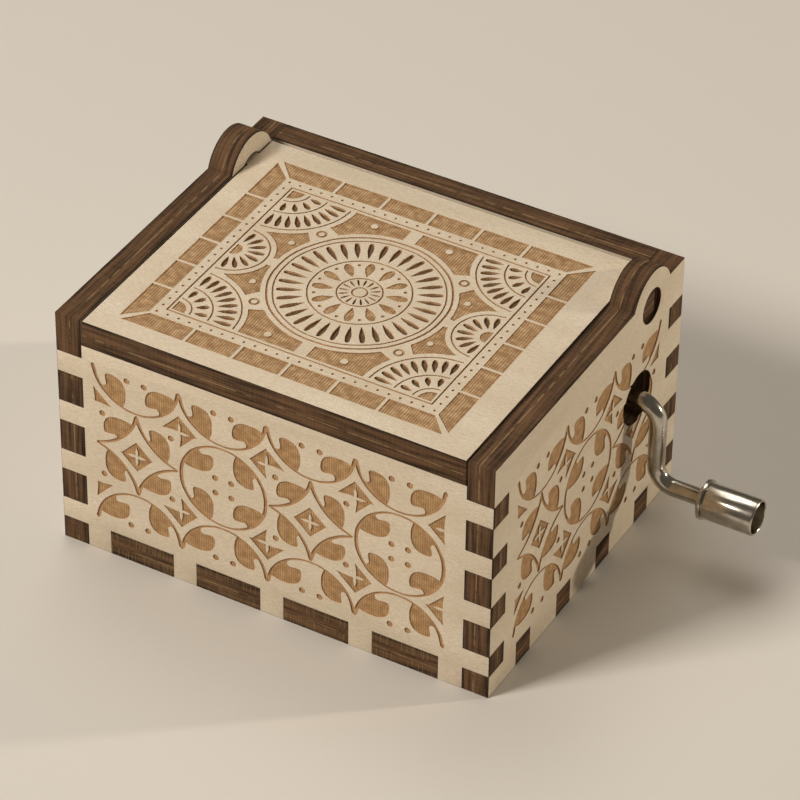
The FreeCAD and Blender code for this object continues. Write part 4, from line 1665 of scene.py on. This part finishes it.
@dataclass
class Case:
    """The four walls and the base."""

    layout: CaseLayout
    materials: Sequence[bpy.types.Material]
    end_cells: int = 4
    side_cells: int = 3
    end_first_cell: float = 11.9
    right_first_cell: float = 12.8
    left_first_cell: float = 12.78
    base_end_grain: float = 0.55
    notch_overlap: float = 0.2 * MM
    screws: tuple[Span, ...] = ((-19.5 * MM, -12.3 * MM), (13.8 * MM, -12.3 * MM),
                                (-9.5 * MM, 17.2 * MM))
    screw_hole: float = 1.35 * MM
    screw_mouth: float = 2.55 * MM
    cone_flare: float = 0.2 * MM
    cone_taper: float = 0.1 * MM
    cone_over: float = 0.3 * MM
    cone_drop: float = 0.05 * MM
    ear_sides: int = 96
    hole_sides: int = 72
    cone_sides: int = 48

    def end_wall(self, name: str, node: str, right: Vector, out_y: float, height: float) -> None:
        """Build the front or the back wall.

        Args:
            name: the piece's name.
            node: the solid it stands for.
            right: the world direction to the right of its show face.
            out_y: its show face's Y.
            height: its height.
        """
        lay = self.layout
        notches = end_notches(lay.inner_half_width, lay.half_width,
                              gaps(lay.corner_spans(), -SPARE, height + SPARE))
        notches += [(*span, -SPARE, lay.ply)
                    for span in lay.base_spans(lay.inner_half_width, lay.base_tab_front)]
        board = Board(name, node, "case", right, Vector((0, 0, 1)), Vector((0, out_y, 0)),
                      (-lay.half_width, 0), (lay.half_width, height), notches, lay.ply)
        piece = board.blank()
        board.notch(piece)
        board.finish(piece, self.materials, ScrollBand(self.end_first_cell, self.end_cells),
                     board.low)

    def side_wall(self, name: str, node: str, right: Vector, out_x: float, first_cell: float,
                  crank_hole: bool) -> None:
        """Build the left or the right wall.

        Args:
            name: the piece's name.
            node: the solid it stands for.
            right: the world direction to the right of its show face.
            out_x: its show face's X.
            first_cell: where its ornament's first cell lies, in mm.
            crank_hole: whether the crank comes out of it.
        """
        lay = self.layout
        notches = end_notches(lay.inner_half_depth, lay.half_depth, lay.corner_spans())
        notches += [(*span, -SPARE, lay.ply)
                    for span in lay.base_spans(lay.half_depth, lay.base_tab_side)]
        board = Board(name, node, "case", right, Vector((0, 0, 1)), Vector((out_x, 0, 0)),
                      (-lay.half_depth, 0), (lay.half_depth, lay.height), notches, lay.ply)
        piece = board.blank()
        pivot_u = lay.pivot_y * right.y
        ear = round_bar("ear", lay.ear_radius, Vector((pivot_u, lay.pivot_z, -lay.ply)),
                        Vector((pivot_u, lay.pivot_z, 0)), self.ear_sides)
        combine(piece, ear, Way.FUSE)
        board.notch(piece)
        self.drill(piece, pivot_u, lay.pivot_z, lay.pivot_radius)
        if crank_hole:
            self.drill(piece, lay.crank_y * right.y, lay.crank_height, lay.crank_hole)
        board.finish(piece, self.materials, ScrollBand(first_cell, self.side_cells), board.low)

    def drill(self, piece: bpy.types.Object, u: float, v: float, radius: float) -> None:
        """Cut a round hole through a flat board.

        Args:
            piece: the board.
            u: the hole's centre across.
            v: its centre along.
            radius: its radius.
        """
        depth = self.layout.ply + SPARE
        bit = round_bar("bit", radius, Vector((u, v, -depth)), Vector((u, v, SPARE)),
                        self.hole_sides)
        combine(piece, bit)

    def countersink(self, piece: bpy.types.Object, u: float, v: float) -> None:
        """Widen a screw's hole at the underside of the flat base.

        Args:
            piece: the base.
            u: the hole's centre across.
            v: its centre along.
        """
        depth = self.screw_mouth - self.screw_hole
        # The cone stands a little out of the underside, and its tip a little inside the hole.
        cone = add("countersink", bpy.ops.mesh.primitive_cone_add, vertices=self.cone_sides,
                   radius1=self.screw_mouth + self.cone_flare,
                   radius2=self.screw_hole - self.cone_taper, depth=depth + self.cone_over,
                   location=(u, v, -self.layout.ply + depth / 2 - self.cone_drop))
        settle(cone)
        combine(piece, cone)

    def base(self) -> None:
        """Build the base plate, with its countersunk holes."""
        lay = self.layout
        front_gaps = gaps(lay.base_spans(lay.inner_half_width, lay.base_tab_front),
                          -lay.half_width - SPARE, lay.half_width + SPARE)
        side_gaps = gaps(lay.base_spans(lay.half_depth, lay.base_tab_side),
                         -lay.half_depth - SPARE, lay.half_depth + SPARE)
        reach = lay.inner_half_depth + self.notch_overlap
        notches = [(left, right, low, high) for low, high, left, right in
                   end_notches(lay.inner_half_depth, lay.half_depth, front_gaps)]
        notches += end_notches(lay.inner_half_width, lay.half_width,
                               [(max(low, -reach), min(high, reach)) for low, high in side_gaps])
        board = Board("base_board", "base_plate", "case", Vector((1, 0, 0)), Vector((0, 1, 0)),
                      Vector((0, 0, lay.ply)), (-lay.half_width, -lay.half_depth),
                      (lay.half_width, lay.half_depth), notches, lay.ply,
                      (0.0, self.base_end_grain))
        piece = board.blank()
        board.notch(piece, apart=True)
        for u, v in self.screws:
            self.drill(piece, u, v, self.screw_hole)
            self.countersink(piece, u, v)
        board.finish(piece, self.materials)

    def build(self) -> None:
        """Build every board of the case."""
        lay = self.layout
        front_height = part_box("front_panel")[1].z
        self.end_wall("front_wall", "front_panel", Vector((1, 0, 0)), -lay.half_depth, front_height)
        self.end_wall("back_wall", "back_panel", Vector((-1, 0, 0)), lay.half_depth, lay.height)
        self.side_wall("right_wall", "right_panel", Vector((0, 1, 0)), lay.half_width,
                       self.right_first_cell, True)
        self.side_wall("left_wall", "left_panel", Vector((0, -1, 0)), -lay.half_width,
                       self.left_first_cell, False)
        self.base()


@dataclass
class Lid:
    """The lid with its two pegs."""

    layout: CaseLayout
    materials: Sequence[bpy.types.Material]
    pattern: LidPattern = field(default_factory=LidPattern)
    side_gap: float = 0.25 * MM
    peg_corner: float = 2.44 * MM

    def build(self) -> None:
        """Build the lid."""
        lay = self.layout
        low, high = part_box("lid")
        peg_half = math.sqrt(self.peg_corner ** 2 - (lay.ply / 2) ** 2)
        half = lay.inner_half_width - self.side_gap
        notches = []
        for side in (-1, 1):
            edge = sorted((side * half, side * (high.x + SPARE)))
            notches.append((*edge, low.y - SPARE, lay.pivot_y - peg_half))
            notches.append((*edge, lay.pivot_y + peg_half, high.y + SPARE))
        board = Board("lid_board", "lid", "lid", Vector((1, 0, 0)), Vector((0, 1, 0)),
                      Vector((0, 0, high.z)), (low.x, low.y), (high.x, high.y), notches, lay.ply)
        piece = board.blank()
        board.notch(piece)
        board.finish(piece, self.materials, self.pattern, (-lay.half_width, -lay.half_depth))


# ---------------------------------------------------------------- crank
@dataclass
class Crank:
    """The bent wire crank, drawn from one ring of points, and the knob that turns on it."""

    layout: CaseLayout
    nickel: bpy.types.Material
    wire: float = 1.2 * MM
    arm_out: float = 3.2 * MM
    bend: float = 3.0 * MM
    bend_steps: int = 20
    throw: float = 12.6 * MM
    knob_out: float = 10.5 * MM
    knob_length: float = 7.9 * MM
    knob_radius: float = 2.55 * MM
    flange_radius: float = 2.8 * MM
    flange_length: float = 0.5 * MM
    neck_radius: float = 2.35 * MM
    neck_length: float = 0.2 * MM
    lip: float = 0.2 * MM
    cavity_radius: float = 2.2 * MM
    end_wall: float = 1.0 * MM
    wire_play: float = 0.05 * MM
    running_gap: float = 0.08 * MM
    shoulder_radius: float = 1.65 * MM
    shoulder_length: float = 0.5 * MM
    head_radius: float = 1.75 * MM
    head_height: float = 0.7 * MM
    head_dome: tuple[Span, ...] = ((0.3, 1.0), (0.75, 0.8), (1.0, 0.45))
    wire_easing: float = 0.08 * MM
    knob_easing: float = 0.06 * MM
    weld: float = 1e-6
    sides: int = 48

    def ring(self, name: str, radius: float, centre: Vector) -> bpy.types.Object:
        """A ring of points across X, in edit mode with all of it selected.

        Args:
            name: the piece's name.
            radius: the ring's radius.
            centre: its centre.

        Returns:
            The piece.
        """
        made = add(name, bpy.ops.mesh.primitive_circle_add, vertices=self.sides, radius=radius,
                   fill_type="NOTHING", location=centre, rotation=(0, math.pi / 2, 0))
        settle(made)
        bpy.ops.object.mode_set(mode="EDIT")
        bpy.ops.mesh.select_all(action="SELECT")
        return made

    def turn(self, start: Span, profile: Sequence[Span], y: float, z: float) -> None:
        """Draw the selected ring on along X, as on a lathe.

        Args:
            start: X and radius of the selected ring.
            profile: X and radius of each further ring.
            y: Y of the axis.
            z: its height.
        """
        for (x, radius), (next_x, next_radius) in zip((start, *profile), profile):
            ring_extrude(Vector((next_x - x, 0, 0)), next_radius / radius,
                         Vector((next_x, y, z)))

    def bend_on(self, x: float, y: float, z: float, sense: int) -> None:
        """Bend the wire by a quarter turn.

        Args:
            x: X of the bend's centre.
            y: its Y.
            z: its height.
            sense: -1 to bend down, 1 to bend outwards again.
        """
        bpy.ops.mesh.spin(steps=self.bend_steps, angle=math.pi / 2, center=(x, y, z),
                          axis=(0, sense, 0))

    def close(self, caps: bool) -> None:
        """Merge what meets, cap open ends if asked, and turn every face outwards.

        Args:
            caps: whether the piece's two open ends are filled.
        """
        bpy.ops.mesh.select_all(action="SELECT")
        bpy.ops.mesh.remove_doubles(threshold=self.weld)
        if caps:
            bpy.ops.mesh.select_all(action="DESELECT")
            bpy.ops.mesh.select_mode(type="EDGE")
            bpy.ops.mesh.select_non_manifold(extend=False)
            bpy.ops.mesh.edge_face_add()
        bpy.ops.mesh.select_all(action="SELECT")
        bpy.ops.mesh.normals_make_consistent(inside=False)
        bpy.ops.object.mode_set(mode="OBJECT")

    def polish(self, piece: bpy.types.Object, easing: float, steps: int, angle: float) -> None:
        """Round a piece's sharp edges a little, shade it smooth and plate it.

        Args:
            piece: the piece.
            easing: how far the rounding reaches.
            steps: the rounding's steps.
            angle: edges sharper than this many degrees are rounded.
        """
        run_modifier(piece, "BEVEL", width=easing, segments=steps, limit_method="ANGLE",
                     angle_limit=math.radians(angle), harden_normals=False)
        shade_smooth(piece, angle)
        dress(piece, [self.nickel])

    def wire_piece(self, y: float, z: float) -> None:
        """Draw the wire: shaft, bend, arm, bend and pin, with its shoulder and riveted head.

        Args:
            y: Y of the crank's axis.
            z: its height.
        """
        low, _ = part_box("crank_wire")
        outside = self.layout.half_width
        arm_x = outside + self.arm_out
        pin_z = z - self.throw
        shaft_end = arm_x - self.bend
        piece = self.ring("crank_rod", self.wire, Vector((low.x, y, z)))
        ring_extrude(Vector((shaft_end - low.x, 0, 0)), 1, Vector())
        self.bend_on(shaft_end, y, z - self.bend, -1)
        ring_extrude(Vector((0, 0, -(self.throw - 2 * self.bend))), 1, Vector())
        self.bend_on(arm_x + self.bend, y, pin_z + self.bend, 1)
        knob_x = outside + self.knob_out
        seat = knob_x + self.end_wall + self.running_gap
        shoulder = knob_x - self.running_gap - self.shoulder_length
        profile = [(shoulder, self.wire), (shoulder, self.shoulder_radius),
                   (shoulder + self.shoulder_length, self.shoulder_radius),
                   (shoulder + self.shoulder_length, self.wire), (seat, self.wire),
                   (seat, self.head_radius)]
        profile += [(seat + rise * self.head_height, share * self.head_radius)
                    for rise, share in self.head_dome]
        self.turn((arm_x + self.bend, self.wire), profile, y, pin_z)
        self.close(True)
        self.polish(piece, self.wire_easing, steps=2, angle=35)
        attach(piece, "crank")
        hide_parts("crank_wire")
        LOG.info("crank_rod: %d faces", len(piece.data.polygons))

    def knob_piece(self, y: float, z: float) -> None:
        """Turn the hollow knob ring by ring.

        Args:
            y: Y of its axis.
            z: its height.
        """
        start = self.layout.half_width + self.knob_out
        end = start + self.knob_length
        hole = self.wire + self.wire_play
        groove = start + self.flange_length
        body = groove + self.neck_length
        profile = [(start, self.flange_radius), (groove, self.flange_radius),
                   (groove, self.neck_radius), (body, self.neck_radius),
                   (body, self.knob_radius), (end - self.lip, self.knob_radius),
                   (end, self.knob_radius - self.lip), (end - 0.6 * self.lip, self.cavity_radius),
                   (start + self.end_wall, self.cavity_radius), (start + self.end_wall, hole),
                   (start, hole)]
        piece = self.ring("knob_shell", hole, Vector((start, y, z)))
        self.turn((start, hole), profile, y, z)
        self.close(False)
        self.polish(piece, self.knob_easing, steps=3, angle=30)
        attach(piece, "knob")
        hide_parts("knob")
        LOG.info("knob_shell: %d faces", len(piece.data.polygons))

    def build(self) -> None:
        """Build the wire and the knob."""
        lay = self.layout
        self.wire_piece(lay.crank_y, lay.crank_height)
        self.knob_piece(lay.crank_y, lay.crank_height - self.throw)


# ---------------------------------------------------------------- movement
@dataclass
class Movement:
    """The comb movement's own solids, each dressed by its slot."""

    frame: dict
    finishes: dict[str, bpy.types.Material]

    def build(self) -> None:
        """Give each carried-over solid its material."""
        for part in self.frame["record"]["subparts"]:
            material = self.finishes.get(part["material_slot"])
            if material is not None:
                dress(self.frame["nodes"][part["node"]], [material])
                LOG.info("%s: %s", part["node"], material.name)


# ---------------------------------------------------------------- studio
@dataclass(frozen=True)
class Softbox:
    """A square area light that looks at the box."""

    name: str
    place: tuple[float, float, float]
    side: float
    power: float
    tone: Tone

    def build(self, aim: Vector) -> None:
        """Hang the light.

        Args:
            aim: what it looks at.
        """
        made = add(self.name, bpy.ops.object.light_add, type="AREA", location=self.place)
        made.data.shape = "SQUARE"
        made.data.size = self.side
        made.data.energy = self.power
        made.data.color = linear(self.tone)[:3]
        made.rotation_euler = (aim - Vector(self.place)).to_track_quat("-Z", "Y").to_euler()


@dataclass
class Studio:
    """A pale floor, soft light and the camera."""

    floor_tone: Tone = (214, 209, 201)
    floor_cloud: Tone = (206, 200, 192)
    floor_roughness: float = 0.8
    floor_size: float = 6.0
    room_tone: Tone = (240, 228, 210)
    room_light: float = 0.13
    aim_height: float = 0.018
    softboxes: tuple[Softbox, ...] = (
        Softbox("back_right_box", (0.776, 0.571, 0.285), 0.04, 4.3, (255, 243, 224)),
        Softbox("front_left_box", (-0.42, -0.62, 0.66), 0.22, 7.8, (255, 247, 237)),
        Softbox("overhead_box", (-0.35, 0.40, 1.0), 0.6, 3.4, (255, 250, 243)),
    )
    azimuth: float = 29.070
    elevation: float = 37.951
    roll: float = 0.882
    place: tuple[float, float, float] = (0.219297, -0.386879, 0.365004)
    lens: float = 193.10
    sensor: float = 36.0
    clip_start: float = 0.02

    def camera(self) -> None:
        """Set the camera up."""
        turn, tilt, roll = map(math.radians, (self.azimuth, self.elevation, self.roll))
        back = Vector((math.sin(turn) * math.cos(tilt), -math.cos(turn) * math.cos(tilt),
                       math.sin(tilt)))
        right = Vector((math.cos(turn), math.sin(turn), 0))
        up = back.cross(right)
        rolled_right = right * math.cos(roll) + up * math.sin(roll)
        rolled_up = up * math.cos(roll) - right * math.sin(roll)
        made = add("camera", bpy.ops.object.camera_add)
        made.data.lens = self.lens
        made.data.sensor_fit = "HORIZONTAL"
        made.data.sensor_width = self.sensor
        made.data.clip_start = self.clip_start
        turned = Matrix((rolled_right, rolled_up, back)).transposed().to_4x4()
        made.matrix_world = Matrix.Translation(Vector(self.place)) @ turned
        bpy.context.scene.camera = made

    def floor(self) -> None:
        """Lay the floor."""
        made = add("floor", bpy.ops.mesh.primitive_plane_add, size=self.floor_size,
                   location=(0, 0, 0))
        material, board, shader = new_surface("pale_floor")
        cloud = board.band(board.noise(board.inside(), 3.0), 0.3, 0.7, 0.0, 0.2)
        board.feed(shader, Roughness=self.floor_roughness,
                   Base_Color=board.mix(cloud, linear(self.floor_tone), linear(self.floor_cloud)))
        dress(made, [material])

    def light(self) -> None:
        """Hang the softboxes and set the room's light."""
        for box in self.softboxes:
            box.build(Vector((0, 0, self.aim_height)))
        scene = bpy.context.scene
        scene.view_settings.view_transform = "Standard"
        world = bpy.data.worlds.new("room")
        scene.world = world
        world.use_nodes = True
        background = world.node_tree.nodes["Background"]
        background.inputs["Color"].default_value = linear(self.room_tone)
        background.inputs["Strength"].default_value = self.room_light

    def build(self) -> None:
        """Build the studio."""
        self.camera()
        self.floor()
        self.light()


# ---------------------------------------------------------------- all together
def wall_layers() -> list[bpy.types.Material]:
    """The finishes of a wall.

    Returns:
        One material per member of Layer, in order.
    """
    layers = (
        BareFace(),
        BurntEdge(),
        BeamFloor("engraved_leaf", (206, 168, 120), (142, 106, 66), cross=1.0),
        BeamFloor("engraved_line", (200, 163, 118), (160, 122, 82), cross=0.3),
        # Bank tones: toasted by the beam, and set lighter than the floors as a painted highlight of
        # the lit walls.
        BeamFloor("engraved_bank_painted_highlight", (212, 178, 134), (174, 137, 95), cross=0.3),
        BeamFloor("engraved_slot", (138, 104, 68), (92, 66, 42), cross=0.5),
    )
    return [layer.material() for layer in layers]


def lid_layers(wall: Sequence[bpy.types.Material]) -> list[bpy.types.Material]:
    """The finishes of the lid, whose toasted floors have wider passes.

    Args:
        wall: the finishes of a wall.

    Returns:
        One material per member of Layer, in order.
    """
    band = BeamFloor("engraved_band", (214, 181, 138), (136, 100, 61), pitch=0.374 * MM, cross=0.2,
                     relief=0.10 * MM)
    return [*wall[:Layer.RASTER], band.material(), *wall[Layer.GROOVE:]]


def movement_finishes() -> dict[str, bpy.types.Material]:
    """The finishes of the movement, by slot.

    Returns:
        Slot to material.
    """
    finishes = {
        "zinc_casting": MetalFinish("cast_zinc", (176, 176, 174), (138, 138, 136), 0.38, 0.58,
                                    1400.0),
        "bracket_steel": MetalFinish("pressed_steel", (206, 206, 206), (170, 170, 172), 0.20, 0.36),
        "comb_steel": MetalFinish("ground_spring_steel", (214, 214, 216), (172, 174, 178), 0.16,
                                  0.32),
        "screw_steel": MetalFinish("zinc_plated_steel", (196, 198, 202), (158, 160, 166), 0.22,
                                   0.40),
        "lead": MetalFinish("dull_lead", (112, 112, 118), (78, 78, 84), 0.45, 0.62),
        "brass": MetalFinish("turned_brass", (226, 192, 118), (190, 150, 82), 0.16, 0.34),
        "worm_steel": MetalFinish("turned_steel", (196, 196, 198), (150, 150, 154), 0.18, 0.36),
        "nylon": MouldedNylon(),
    }
    return {slot: finish.material() for slot, finish in finishes.items()}


def main() -> None:
    """Load the frame, dress the box and set the studio round it."""
    logging.basicConfig(level=logging.INFO, format="%(message)s")
    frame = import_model()
    layout = CaseLayout()
    wall = wall_layers()
    nickel = MetalFinish("bright_nickel", (208, 202, 190), (174, 167, 154), 0.15, 0.26, 600.0)
    Case(layout, wall).build()
    Lid(layout, lid_layers(wall)).build()
    Crank(layout, nickel.material()).build()
    Movement(frame, movement_finishes()).build()
    Studio().build()


if __name__ == "__main__":
    main()
